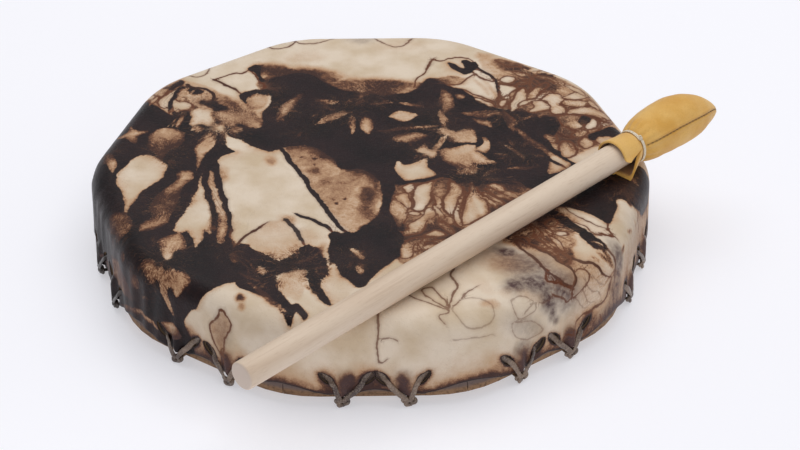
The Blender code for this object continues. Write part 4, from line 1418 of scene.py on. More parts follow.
def finish_of(name: str, roughness: float, specular: float = 0.5,
              **plain: float) -> tuple[Material, Weaver, Node]:
    """A material with one Principled shader.

    Args:
        name: its name.
        roughness: roughness of the surface.
        specular: level of the plain reflection.
        plain: further plain values, named as the shader's inputs with underscores.

    Returns:
        The material, a weaver for its tree, and the shader.
    """
    material = bpy.data.materials.new(name)
    material.use_nodes = True
    tree = material.node_tree
    shader = tree.nodes["Principled BSDF"]
    shader.inputs["Roughness"].default_value = roughness
    shader.inputs["Specular IOR Level"].default_value = specular
    for key, value in plain.items():
        shader.inputs[key.replace("_", " ")].default_value = value
    return material, Weaver(tree), shader


def group_tree(name: str, inputs: dict[str, Socket],
               outputs: dict[str, Socket]) -> tuple[NodeTree, Weaver, Node, Node]:
    """An empty shader group.

    Args:
        name: its name.
        inputs: names and kinds of what goes in.
        outputs: names and kinds of what comes out.

    Returns:
        The tree, a weaver for it, and its input and output nodes.
    """
    tree = bpy.data.node_groups.new(name, "ShaderNodeTree")
    for label, kind in inputs.items():
        tree.interface.new_socket(label, in_out="INPUT", socket_type=kind.value)
    for label, kind in outputs.items():
        tree.interface.new_socket(label, in_out="OUTPUT", socket_type=kind.value)
    weaver = Weaver(tree)
    return tree, weaver, weaver.node("NodeGroupInput"), weaver.node("NodeGroupOutput")


@dataclass
class Effects:
    """Shader groups that several finishes share."""

    pores: NodeTree = field(init=False)
    grain: NodeTree = field(init=False)

    def __post_init__(self) -> None:
        """Build the groups."""
        self.pores = self.make_pores()
        self.grain = self.make_grain()

    @staticmethod
    def make_pores() -> NodeTree:
        """Hair pores of hide: dark dots, and a height for its grain.

        Returns:
            The group.
        """
        tree, weave, given, out = group_tree(
            "hide pores", {"Vector": Socket.VECTOR, "Size": Socket.NUMBER},
            {"Dots": Socket.NUMBER, "Height": Socket.NUMBER})
        scale = weave.math("DIVIDE", 1.0, given.outputs["Size"])
        near = weave.cells(given.outputs["Vector"], scale)
        patchy = weave.noise(given.outputs["Vector"], weave.times(scale, 0.12), 2.0)
        dots = weave.times(weave.steps(near, 0.34, 0.16), weave.steps(patchy, 0.42, 0.6))
        fine = weave.noise(given.outputs["Vector"], weave.times(scale, 2.2), 3.0, 0.6)
        height = weave.math("ADD", weave.steps(near, 0.1, 0.45), fine)
        weave.feed(out.inputs["Dots"], dots)
        weave.feed(out.inputs["Height"], height)
        return tree

    @staticmethod
    def make_grain() -> NodeTree:
        """Wood grain along X: a slow tone, fine lines, and short open pores.

        Returns:
            The group.
        """
        tree, weave, given, out = group_tree(
            "wood grain", {"Vector": Socket.VECTOR},
            {"Tone": Socket.NUMBER, "Lines": Socket.NUMBER, "Pores": Socket.NUMBER})
        vector = given.outputs["Vector"]
        slow = weave.noise(weave.vector("MULTIPLY", vector, (6.0, 60.0, 60.0)), 1.0, 3.0, 0.55, 0.6)
        lines = weave.noise(weave.vector("MULTIPLY", vector, (18.0, 900.0, 900.0)), 1.0, 2.0)
        short = weave.noise(weave.vector("MULTIPLY", vector, (160.0, 2200.0, 2200.0)), 1.0, 1.0)
        weave.feed(out.inputs["Tone"], slow)
        weave.feed(out.inputs["Lines"], lines)
        weave.feed(out.inputs["Pores"], weave.steps(short, 0.6, 0.72))
        return tree


# Drumhead


@dataclass(frozen=True)
class RawhideFinish:
    """Rawhide that was tied, dyed and stretched; its mesh carries the dye's field and painted shade."""

    cream: Colour = shade(228, 211, 190)
    warm: Colour = shade(208, 186, 157)
    tan: Colour = shade(196, 157, 122)
    brown: Colour = shade(130, 87, 61)
    halo_dark: Colour = shade(66, 42, 35)
    grey: Colour = shade(86, 64, 62)
    line: Colour = shade(40, 27, 27)
    fine_line: Colour = shade(98, 54, 34)
    dark: Colour = shade(22, 16, 18)
    dark_warm: Colour = shade(38, 25, 27)
    hair: Colour = shade(146, 102, 70)
    inner: Colour = shade(176, 150, 118)

    def make(self, effects: Effects) -> Material:
        """The material.

        Args:
            effects: the shared shader groups.

        Returns:
            Rawhide coloured by the attributes skin, dye, stain, fold and ray, with painted shade.
        """
        material, weave, shader = finish_of("dyed rawhide", 0.45, 0.16)
        skin = weave.read("skin")
        medium = weave.noise(skin, 0.3, 4.0, 0.6)
        fine = weave.noise(skin, 1.1, 3.0, 0.6)
        broad = weave.noise(skin, 0.035, 3.0, 0.5)
        pores = weave.group(effects.pores, Vector=skin, Size=1.25)
        streak, force = self.streaks(weave)
        dye = weave.read("dye", "Fac")
        wander = weave.swing(medium, 1.1, dye)
        wander = weave.swing(fine, 0.8, wander)
        depth = weave.onto(streak, weave.onto(force, 5.0, 0.5), wander)
        brown, grey, raw = weave.parts(weave.read("stain"))
        reach = weave.steps(weave.noise(skin, 0.03, 2.0), 0.42, 0.68, 0.5, 4.0)
        halo = weave.math("EXPONENT", weave.math("DIVIDE", weave.math("MINIMUM", depth, 0.0), reach))
        combed = weave.times(streak, weave.onto(force, 1.5, 0.25))
        uneven = weave.math("ADD", combed, weave.steps(broad, 0.3, 0.7, -0.22, 0.22))
        uneven = weave.swing(medium, 0.6, uneven)
        uneven = weave.swing(fine, 0.5, uneven)
        brown = weave.onto(halo, 0.64, brown)
        spread = weave.steps(brown, 0.1, 0.8, 0.16, 1.0)
        brown = weave.onto(uneven, spread, brown)
        colour = weave.mix(weave.steps(broad, 0.4, 0.65), self.cream, self.warm)
        colour = weave.mix(weave.steps(brown, 0.08, 0.62), colour, self.tan)
        colour = weave.mix(weave.steps(brown, 0.55, 0.9), colour, self.brown)
        colour = weave.mix(weave.steps(brown, 0.8, 1.1), colour, self.halo_dark)
        smoke = weave.times(grey, weave.steps(medium, 0.3, 0.6, 0.6, 1.0))
        colour = weave.mix(weave.times(smoke, 0.85, clamp=True), colour, self.grey)
        dots = weave.times(pores.outputs["Dots"], weave.onto(brown, 0.35, 0.05, clamp=True), True)
        colour = weave.mix(dots, colour, self.brown)
        fold, seep, bold = self.folds(weave, medium)
        colour = weave.mix(seep, colour, self.brown)
        ink = weave.mix(weave.steps(broad, 0.45, 0.75, 0.0, 0.5), self.fine_line, self.brown)
        colour = weave.mix(fold, colour, weave.mix(bold, ink, self.line))
        deep = weave.mix(weave.steps(broad, 0.35, 0.6), self.dark, self.dark_warm)
        near_edge = weave.steps(depth, 12.0, 0.5)
        deep = weave.mix(weave.times(near_edge, weave.steps(medium, 0.4, 0.7, 0.0, 0.35)),
                         deep, self.halo_dark)
        glint = weave.steps(streak, 0.06, 0.18, 0.0, 0.8)
        force_near = weave.times(force, weave.steps(depth, 20.0, 1.0), clamp=True)
        deep = weave.mix(weave.times(glint, force_near, clamp=True), deep, self.hair)
        soaked = weave.steps(depth, -0.3, 0.35, smooth=True)
        colour = weave.mix(soaked, colour, deep)
        colour = weave.mix(weave.times(raw, 0.55), colour, self.inner)
        height = weave.onto(streak, 1.5, weave.onto(medium, 1.6, pores.outputs["Height"]))
        weave.dress(shader, colour, weave.bump(height, 0.00012, 0.8),
                    weave.onto(soaked, -0.07, weave.steps(fine, 0.3, 0.7, 0.38, 0.5)))
        return material

    @staticmethod
    def streaks(weave: Weaver) -> tuple[NodeSocket, NodeSocket]:
        """Hair streaks around the nearest tie point: a signed value and its force.

        Args:
            weave: the material's weaver.

        Returns:
            The value and the force.
        """
        across, up, force = weave.parts(weave.read("ray"))
        flat = weave.joined(across, up)
        bend = weave.filled("ShaderNodeTexNoise", {"Scale": 0.07, "Vector": weave.read("skin")})
        bend = weave.vector("SUBTRACT", bend.outputs["Color"], (0.5, 0.5, 0.5))
        ray = weave.vector("ADD", flat, weave.vector("SCALE", bend, 16.0))
        around = weave.vector("SCALE", weave.vector("NORMALIZE", ray), 19.0)
        out = weave.joined(0.0, 0.0, weave.times(weave.vector("LENGTH", flat), 0.11))
        noise = weave.noise(weave.vector("ADD", around, out), 1.0, 4.0, 0.7)
        return weave.math("SUBTRACT", noise, 0.5), force

    @staticmethod
    def folds(weave: Weaver, uneven: NodeSocket
              ) -> tuple[NodeSocket, ...]:
        """Masks of the lines where dye gathered along folds, of their seep, and of bold ones.

        Args:
            weave: the material's weaver.
            uneven: noise that roughens the lines' edges.

        Returns:
            The three masks.
        """
        across, half, within = weave.parts(weave.read("fold"))
        inside = weave.math("SUBTRACT", half, weave.math("ABSOLUTE", across))
        inside = weave.swing(uneven, 1.5, inside)
        line = weave.steps(inside, -0.3, 0.3, smooth=True)
        ink = weave.read("ink", "Fac")
        line = weave.times(line, weave.steps(within, -1.0, -0.6))
        seep = weave.times(weave.steps(inside, -1.7, 0.2, 0.0, 0.4), ink)
        seep = weave.times(seep, weave.steps(within, -3.0, -1.5))
        bold = weave.steps(half, 0.8, 1.25)
        return weave.times(line, ink), seep, bold


@dataclass
class DrumHead:
    """The stretched hide: a fine face, a plain lining, lacing slits, the dye and painted shade."""

    columns: int = 780
    top_rings: int = 118
    round_rows: int = 14
    wall_rows: int = 21
    lining_columns: int = 360
    lining_rings: int = 42
    slit_offset: float = 11.1
    slit_height: float = 18.5
    slit_length: float = 11.8
    slit_width: float = 5.2
    slit_lean: float = 45.0
    slit_seed: int = 5
    relief_seed: int = 8
    cutter_half: float = 3.5

    def ring(self, count: int, inset: float | Array, height: float | Array,
             share: float = 1.0) -> Array:
        """A ring of places that follows the drum's outline.

        Args:
            count: points in the ring.
            inset: how far it lies inside the hide's face.
            height: its height.
            share: part of the outline's distance from the axis.

        Returns:
            The places.
        """
        angle = 1.5 * math.pi + TURN * np.arange(count) / count
        reach = PLAN.outline(angle, inset) * share
        return np.column_stack([reach * np.cos(angle), reach * np.sin(angle),
                                np.broadcast_to(height, (count,))])

    def rings(self) -> list[Array]:
        """All rings, from the middle of the face down the wall and back over the lining.

        Returns:
            The rings in order.
        """
        rim, top, hide = PLAN.rim_radius, PLAN.head_top, PLAN.hide
        face = []
        for number in range(1, self.top_rings + 1):
            share = number / self.top_rings
            face.append(self.ring(max(8, round(self.columns * share)), rim, top, share))
        for step in range(1, self.round_rows + 1):
            turn = 0.5 * math.pi * step / self.round_rows
            face.append(self.ring(self.columns, rim * (1 - math.sin(turn)),
                                  top - rim * (1 - math.cos(turn))))
        angle = 1.5 * math.pi + TURN * np.arange(self.columns) / self.columns
        edge = PLAN.edge(angle)
        for step in range(1, self.wall_rows + 1):
            height = PLAN.wall_top + (edge - PLAN.wall_top) * step / self.wall_rows
            face.append(self.ring(self.columns, self.flared(height), height))
        for deep, low in ((0.25, 0.45), (0.75, 0.6), (1.25, 0.4)):
            face.append(self.ring(self.columns, self.flared(edge) + deep, edge - low))
        few = self.lining_columns
        edge = PLAN.edge(1.5 * math.pi + TURN * np.arange(few) / few)
        lining = []
        for share in (0.0, 0.12, 0.3, 0.6, 1.0):
            height = edge + 0.3 + (PLAN.wall_top - edge - 0.3) * share
            lining.append(self.ring(few, self.flared(height) + hide, height))
        for step in range(1, 6):
            turn = 0.5 * math.pi * step / 5
            inner = rim - hide
            lining.append(self.ring(few, hide + inner * (1 - math.cos(turn)),
                                    PLAN.wall_top + inner * math.sin(turn)))
        for number in range(self.lining_rings - 1, 0, -1):
            share = number / self.lining_rings
            lining.append(self.ring(max(8, round(few * share)), rim, top - hide, share))
        return face + lining

    @staticmethod
    def flared(height: float | Array) -> float | Array:
        """Inset of the wall's face at a height: it leans out a little downwards."""
        return -PLAN.flare * (PLAN.wall_top - height) / (PLAN.wall_top - PLAN.bottom)

    def blank(self) -> Mesh:
        """The closed hide before its slits are cut.

        Returns:
            The mesh.
        """
        shell = Shell()
        spans = []
        for ring in self.rings():
            first = shell.add(ring, [])
            spans.append(range(first, first + len(ring)))
        for outer, inner in zip(spans[1:], spans):
            shell.faces += band(outer, inner)
        middles = ((spans[0], PLAN.head_top), (spans[-1], PLAN.head_top - PLAN.hide))
        for ring, height in middles:
            middle = shell.add(np.array([[0.0, 0.0, height]]), [])
            count = len(ring)
            fan = [(ring[i], ring[(i + 1) % count], middle) for i in range(count)]
            shell.faces += fan if height == PLAN.head_top else [face[::-1] for face in fan]
        return shell.mesh("hide blank")

    def slits(self) -> list[tuple[int, int, Array]]:
        """Station, side and outline (along, up) of every slit, each a little unlike the others.

        Returns:
            One row for each slit.
        """
        draw = np.random.default_rng(self.slit_seed)
        found = []
        turn = TURN * np.arange(16) / 16
        for number in range(STATIONS):
            for side in (-1, 1):
                length = self.slit_length * draw.uniform(0.92, 1.06)
                width = self.slit_width * draw.uniform(0.85, 1.15)
                lean = math.radians(self.slit_lean + draw.uniform(-6, 6))
                along = 0.5 * length * np.cos(turn)
                across = 0.5 * width * np.sin(turn) * np.abs(np.sin(turn)) ** 0.35
                outline = np.column_stack([
                    PLAN.slit_shift(number)
                    + side * (self.slit_offset + along * math.sin(lean) + across * math.cos(lean)),
                    self.slit_height + along * math.cos(lean) - across * math.sin(lean)])
                found.append((number, side, outline))
        return found

    def cutter(self) -> Mesh:
        """Prisms through the wall, one for each slit.

        Returns:
            The mesh.
        """
        shell = Shell()
        for number, side, outline in self.slits():
            frame = np.array(PLAN.station_frame(number))
            rings = []
            for deep in (self.cutter_half, -self.cutter_half):
                local = np.column_stack([outline[:, 0], np.full(len(outline), deep), outline[:, 1]])
                rings.append(local @ frame[:3, :3].T + frame[:3, 3])
            if side > 0:
                rings.reverse()
            shell.add(*lofted(rings))
        return shell.mesh("slits")

    def cut(self) -> Mesh:
        """The hide with its slits."""
        return cut_out(add_piece(self.blank(), "hide"), self.cutter(), "drumhead")

    def relief(self, places: Array) -> Array:
        """How far the wall stands out, in millimetres: puckers at the lacing and long pleats.

        Args:
            places: points of the hide.

        Returns:
            One value for each place.
        """
        angle = np.arctan2(places[:, 1], places[:, 0])
        height = places[:, 2]
        push = np.zeros(len(places))
        draw = np.random.default_rng(self.relief_seed)
        low = ease(5.0, 9.0, height)
        for number in range(STATIONS):
            frame = PLAN.station_frame(number)
            ahead = frame.to_3x3().col[0]
            station = frame.translation
            along = (places[:, 0] - station.x) * ahead.x + (places[:, 1] - station.y) * ahead.y
            facing = places[:, 0] * station.x + places[:, 1] * station.y > 0
            some = facing & (np.abs(along) < 26) & (height < PLAN.wall_top)
            x, z = along[some], height[some]
            sway = draw.uniform(-1.2, 1.2) * ease(8, 24, z)
            fade = 1 - ease(17.0, 25.0, z)
            fold = 2.5 * hump(x - sway, 1.3 + 0.13 * z) * fade * low[some]
            dent = -0.5 * (hump(x - 4.8, 2.2) + hump(x + 4.8, 2.2)) * fade
            pleats = 0.32 * np.cos(TURN * (x - sway) / draw.uniform(5.5, 8)) * hump(x, 13.0)
            pleats *= 1 - ease(22.0, 40.0, z)
            scoop = -0.35 * hump(x, 9.0) * (1 - ease(10.0, 30.0, z))
            push[some] += fold + dent + pleats * 0.8 + scoop
        left = hump((angle - math.radians(205) + math.pi) % TURN - math.pi, 0.55)
        wall = 1 - ease(PLAN.wall_top - 8, PLAN.head_top, height)
        wave = ripple(np.column_stack([angle * 160, height * 0.12]), 11.0, 3)
        push += wave * wall * (0.12 + 0.5 * left)
        return push

    def shape(self, mesh: Mesh) -> tuple[Array, Array]:
        """Bend the mesh into its puckers.

        Args:
            mesh: the hide in metres; its points move.

        Returns:
            The places before the bend, in millimetres, and which of them are on the lining.
        """
        places = read_places(mesh)
        angle = np.arctan2(places[:, 1], places[:, 0])
        reach = np.hypot(places[:, 0], places[:, 1])
        on_wall = places[:, 2] < PLAN.wall_top
        deep = np.where(on_wall, PLAN.outline(angle, self.flared(places[:, 2])) - reach,
                        self.depth_above(places, angle, reach))
        push = self.relief(places)
        flat = ripple(places[:, :2], 46.0, 21) * 0.1
        bent = places.copy()
        bent[:, :2] *= (1 + push / np.maximum(reach, 1.0))[:, None]
        on_top = ease(0, 8, PLAN.outline(angle, PLAN.rim_radius) - reach)
        bent[:, 2] += np.minimum(flat * on_top, 0.0)
        write_places(mesh, bent)
        return places, deep > 0.6 * PLAN.hide

    @staticmethod
    def depth_above(places: Array, angle: Array, reach: Array) -> Array:
        """Depth below the hide's face for places on the top and on the round rim.

        Args:
            places: points of the hide.
            angle: their directions from the axis.
            reach: their distances from it.

        Returns:
            The depths.
        """
        out = np.maximum(reach - PLAN.outline(angle, PLAN.rim_radius), 0.0)
        up = places[:, 2] - PLAN.wall_top
        return PLAN.rim_radius - np.hypot(out, up)

    def dye(self, mesh: Mesh, places: Array, lining: Array) -> None:
        """Write the dye's field to the mesh, with painted shade added low on the wall and at the slits.

        Args:
            mesh: the finished hide.
            places: its points before they were bent.
            lining: which of them are on the inner face.
        """
        skin = PLAN.skin(places)
        found = Dyeing().field(skin)
        angle = np.arctan2(places[:, 1], places[:, 0])
        above = places[:, 2] - PLAN.edge(angle)
        # Painted shade along the lower edge, where the hide turns in: brown and grey within a few
        # millimetres.
        rand = 1 + 0.3 * ripple(skin, 20.0, 9)
        near_edge = np.exp(-np.maximum(above, 0) / (2.4 * rand))
        on_wall = 1 - ease(PLAN.wall_top - 6, PLAN.head_top, places[:, 2])
        right = hump((angle + math.radians(5) + math.pi) % TURN - math.pi, 0.5)
        upright = ripple(np.column_stack([angle * 160, places[:, 2] * 0.12]), 3.4, 17)
        # Painted shade low on the wall, darker towards its foot; the right-hand wall also gets darker
        # brown upright streaks.
        low = 0.36 * (1 - ease(0.0, 30.0, above)) + 0.5 * (1 - ease(0.0, 9.0, above))
        low_shade_and_right_streaks = (low + 0.5 * right * (upright + 0.4)) * on_wall
        brown = np.maximum(found.brown, np.maximum(1.1 * near_edge, low_shade_and_right_streaks))
        grey = np.maximum(found.grey, 0.5 * near_edge)
        # Painted shade: the lowest fraction of a millimetre at the turned-in edge is as dark as the dye.
        depth = np.maximum(found.depth, 0.5 - above * 1.2)
        # Round each slit: painted shade in its cut faces and a grey painted shade ring round it. Between
        # a station's two slits, over the pucker above the knot, the hide is also made darker grey and
        # brown.
        for number, _, outline in self.slits():
            frame = np.array(PLAN.station_frame(number))
            local = (places - frame[:3, 3]) @ frame[:3, :3]
            some = np.flatnonzero((np.abs(local[:, 0]) < 22) & (local[:, 1] > -6)
                                  & (local[:, 2] < 30))
            flat = local[some][:, [0, 2]]
            away = -distance_to(outline, flat)
            depth[some] = np.maximum(depth[some], 0.55 - away)
            grey[some] = np.maximum(grey[some], 0.7 * hump(np.maximum(away, 0), 1.6))
            fold = hump(flat[:, 0] - PLAN.slit_shift(number), 4.6) * (1 - ease(17, 27, flat[:, 1]))
            grey[some] = np.maximum(grey[some], 1.25 * fold)
            brown[some] = np.maximum(brown[some], 1.2 * fold)
        written = {"dye": depth, "ink": found.ink, "fold": found.line, "ray": found.ray,
                   "skin": np.column_stack([skin, np.zeros(len(skin))]),
                   "stain": np.column_stack([brown, grey, lining])}
        for name, values in written.items():
            write_values(mesh, name, values)

    def build(self, effects: Effects) -> Object:
        """The drumhead, on its body and in place of its solid.

        Args:
            effects: the shared shader groups.

        Returns:
            The finished object.
        """
        mesh = self.cut()
        places, lining = self.shape(mesh)
        self.dye(mesh, places, lining)
        mesh.materials.clear()
        mesh.shade_smooth()
        mesh.set_sharp_from_angle(angle=SHARP)
        head = add_piece(mesh, "dyed_drumhead", RawhideFinish().make(effects))
        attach(head, "root")
        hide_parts("drumhead_rawhide")
        return head


# Straps: everything that follows a path


@dataclass
class Run:
    """One strap: points of its middle, the way its broad face looks, and its girth along it."""

    path: Array
    face: Array
    girth: Array | float = 1.0

    def moved(self, frame: Matrix) -> Run:
        """The run taken from a local frame, in millimetres, to the drum's."""
        turn = np.array(frame.to_3x3())
        return Run(self.path @ turn.T + np.array(frame.translation), self.face @ turn.T, self.girth)


@dataclass
class NodeTool:
    """A Geometry Nodes tree with named inputs that dresses points or lines."""

    tree: NodeTree = field(init=False)
    sockets: dict[str, str] = field(default_factory=dict)

    def begin(self, name: str, **sizes: Socket) -> tuple[Weaver, Node]:
        """Start the tree.

        Args:
            name: its name.
            sizes: its inputs beside the source and the material.

        Returns:
            A weaver for it and its input node.
        """
        self.tree = bpy.data.node_groups.new(name, "GeometryNodeTree")
        face = self.tree.interface
        for label, kind in {"Source": Socket.SHAPE, "Material": Socket.MATERIAL, **sizes}.items():
            item = face.new_socket(label, in_out="INPUT", socket_type=kind.value)
            self.sockets[label] = item.identifier
        face.new_socket("Result", in_out="OUTPUT", socket_type=Socket.SHAPE.value)
        weave = Weaver(self.tree)
        return weave, weave.node("NodeGroupInput")

    @staticmethod
    def end(weave: Weaver, given: Node, last: NodeSocket) -> None:
        """Close the tree: smooth, real, and with its material.

        Args:
            weave: the tree's weaver.
            given: its input node.
            last: the geometry so far.
        """
        for kind in ("GeometryNodeSetShadeSmooth", "GeometryNodeRealizeInstances",
                     "GeometryNodeSetMaterial"):
            node = weave.node(kind)
            weave.feed(node.inputs[0], last)
            last = node.outputs[0]
        weave.feed(node.inputs["Material"], given.outputs["Material"])
        weave.feed(weave.node("NodeGroupOutput").inputs[0], last)

    @staticmethod
    def named(weave: Weaver, name: str, kind: str) -> NodeSocket:
        """An attribute of the points or lines.

        Args:
            weave: the tree's weaver.
            name: name of the attribute.
            kind: its data type.

        Returns:
            The output that gives it.
        """
        node = weave.filled("GeometryNodeInputNamedAttribute", {"Name": name}, data_type=kind)
        return node.outputs["Attribute"]

    def run(self, mesh: Mesh, material: Material, **inputs: float) -> Mesh:
        """Run the tree.

        Args:
            mesh: the points or lines.
            material: material of the result.
            inputs: values of its further inputs.

        Returns:
            One plain mesh.
        """
        piece = add_piece(mesh, mesh.name, material)
        modifier = piece.modifiers.new(self.tree.name, "NODES")
        modifier.node_group = self.tree
        for name, value in {"Material": material, **inputs}.items():
            modifier[self.sockets[name]] = value
        return applied(piece, self.tree.name)


@dataclass
class StrapLoom(NodeTool):
    """Geometry Nodes that sweep a rounded strap along lines."""

    def __post_init__(self) -> None:
        """Build the tree."""
        weave, given = self.begin("strap", Width=Socket.NUMBER, Thickness=Socket.NUMBER,
                                  Sides=Socket.WHOLE)
        curve = weave.filled("GeometryNodeMeshToCurve", {"Mesh": given.outputs["Source"]})
        normal = weave.filled("GeometryNodeSetCurveNormal", {
            "Curve": curve.outputs[0], "Normal": self.named(weave, "face", "FLOAT_VECTOR")},
            mode="FREE")
        circle = weave.filled("GeometryNodeCurvePrimitiveCircle", {
            "Resolution": given.outputs["Sides"], "Radius": 0.5}, mode="RADIUS")
        section = weave.joined(given.outputs["Thickness"], given.outputs["Width"], 1.0)
        profile = weave.filled("GeometryNodeTransform", {
            "Geometry": circle.outputs[0], "Scale": section})
        sweep = weave.filled("GeometryNodeCurveToMesh", {
            "Curve": normal.outputs[0], "Profile Curve": profile.outputs[0],
            "Scale": self.named(weave, "girth", "FLOAT"), "Fill Caps": True})
        self.end(weave, given, sweep.outputs[0])

    def sweep(self, runs: list[Run], section: Point, material: Material, sides: int = 10) -> Mesh:
        """Straps of one section along runs.

        Args:
            runs: the runs, in millimetres.
            section: width and thickness of the strap.
            material: its material.
            sides: points around it.

        Returns:
            One plain mesh.
        """
        edges, first = [], 0
        for run in runs:
            edges += [(first + i, first + i + 1) for i in range(len(run.path) - 1)]
            first += len(run.path)
        mesh = bpy.data.meshes.new("lines")
        mesh.from_pydata((np.vstack([run.path for run in runs]) * MM).tolist(), edges, [])
        write_values(mesh, "face", np.vstack([np.broadcast_to(run.face, run.path.shape)
                                              for run in runs]))
        write_values(mesh, "girth", np.concatenate([np.broadcast_to(run.girth, (len(run.path),))
                                                    for run in runs]))
        width, thickness = section
        return self.run(mesh, material, Width=width * MM, Thickness=thickness * MM, Sides=sides)


def joined(name: str, meshes: list[Mesh]) -> Mesh:
    """Several meshes as one, with all their materials.

    Args:
        name: name of the new mesh.
        meshes: the meshes.

    Returns:
        The mesh.
    """
    pieces = [add_piece(mesh, name) for mesh in meshes]
    with bpy.context.temp_override(active_object=pieces[0], selected_editable_objects=pieces):
        bpy.ops.object.join()
    mesh = pieces[0].data
    bpy.data.objects.remove(pieces[0], do_unlink=True)
    mesh.name = name
    return mesh


# Lacing


@dataclass(frozen=True)
class LaceFinish:
    """Stiff, half clear rawhide thong, dark on the drum's left side."""

    dark: Colour = shade(74, 58, 52)
    middle: Colour = shade(132, 110, 94)
    pale: Colour = shade(186, 168, 146)
    dyed: Colour = shade(34, 28, 30)

    def make(self) -> Material:
        """The material.

        Returns:
            The lacing rawhide.
        """
        material, weave, shader = finish_of("lacing rawhide", 0.32, 0.6)
        place = weave.place()
        broad = weave.noise(place, 70.0, 3.0)
        fine = weave.noise(place, 900.0, 3.0, 0.6)
        colour = weave.mix(weave.steps(broad, 0.35, 0.62), self.dark, self.middle)
        # Pale flecks: lighter spots of the rawhide and painted glints.
        colour = weave.mix(weave.steps(fine, 0.5, 0.72, 0.0, 0.5), colour, self.pale)
        # The thong is made dark by its place: on the drum's left side, below about x = -0.07 m.
        along = weave.parts(weave.local())[0]
        soaked = weave.steps(weave.onto(broad, 0.06, along), -0.07, -0.1)
        colour = weave.mix(weave.times(soaked, 0.85), colour, self.dyed)
        weave.dress(shader, colour, weave.bump(fine, 0.0002, 0.5),
                    weave.steps(fine, 0.3, 0.7, 0.2, 0.36))
        return material


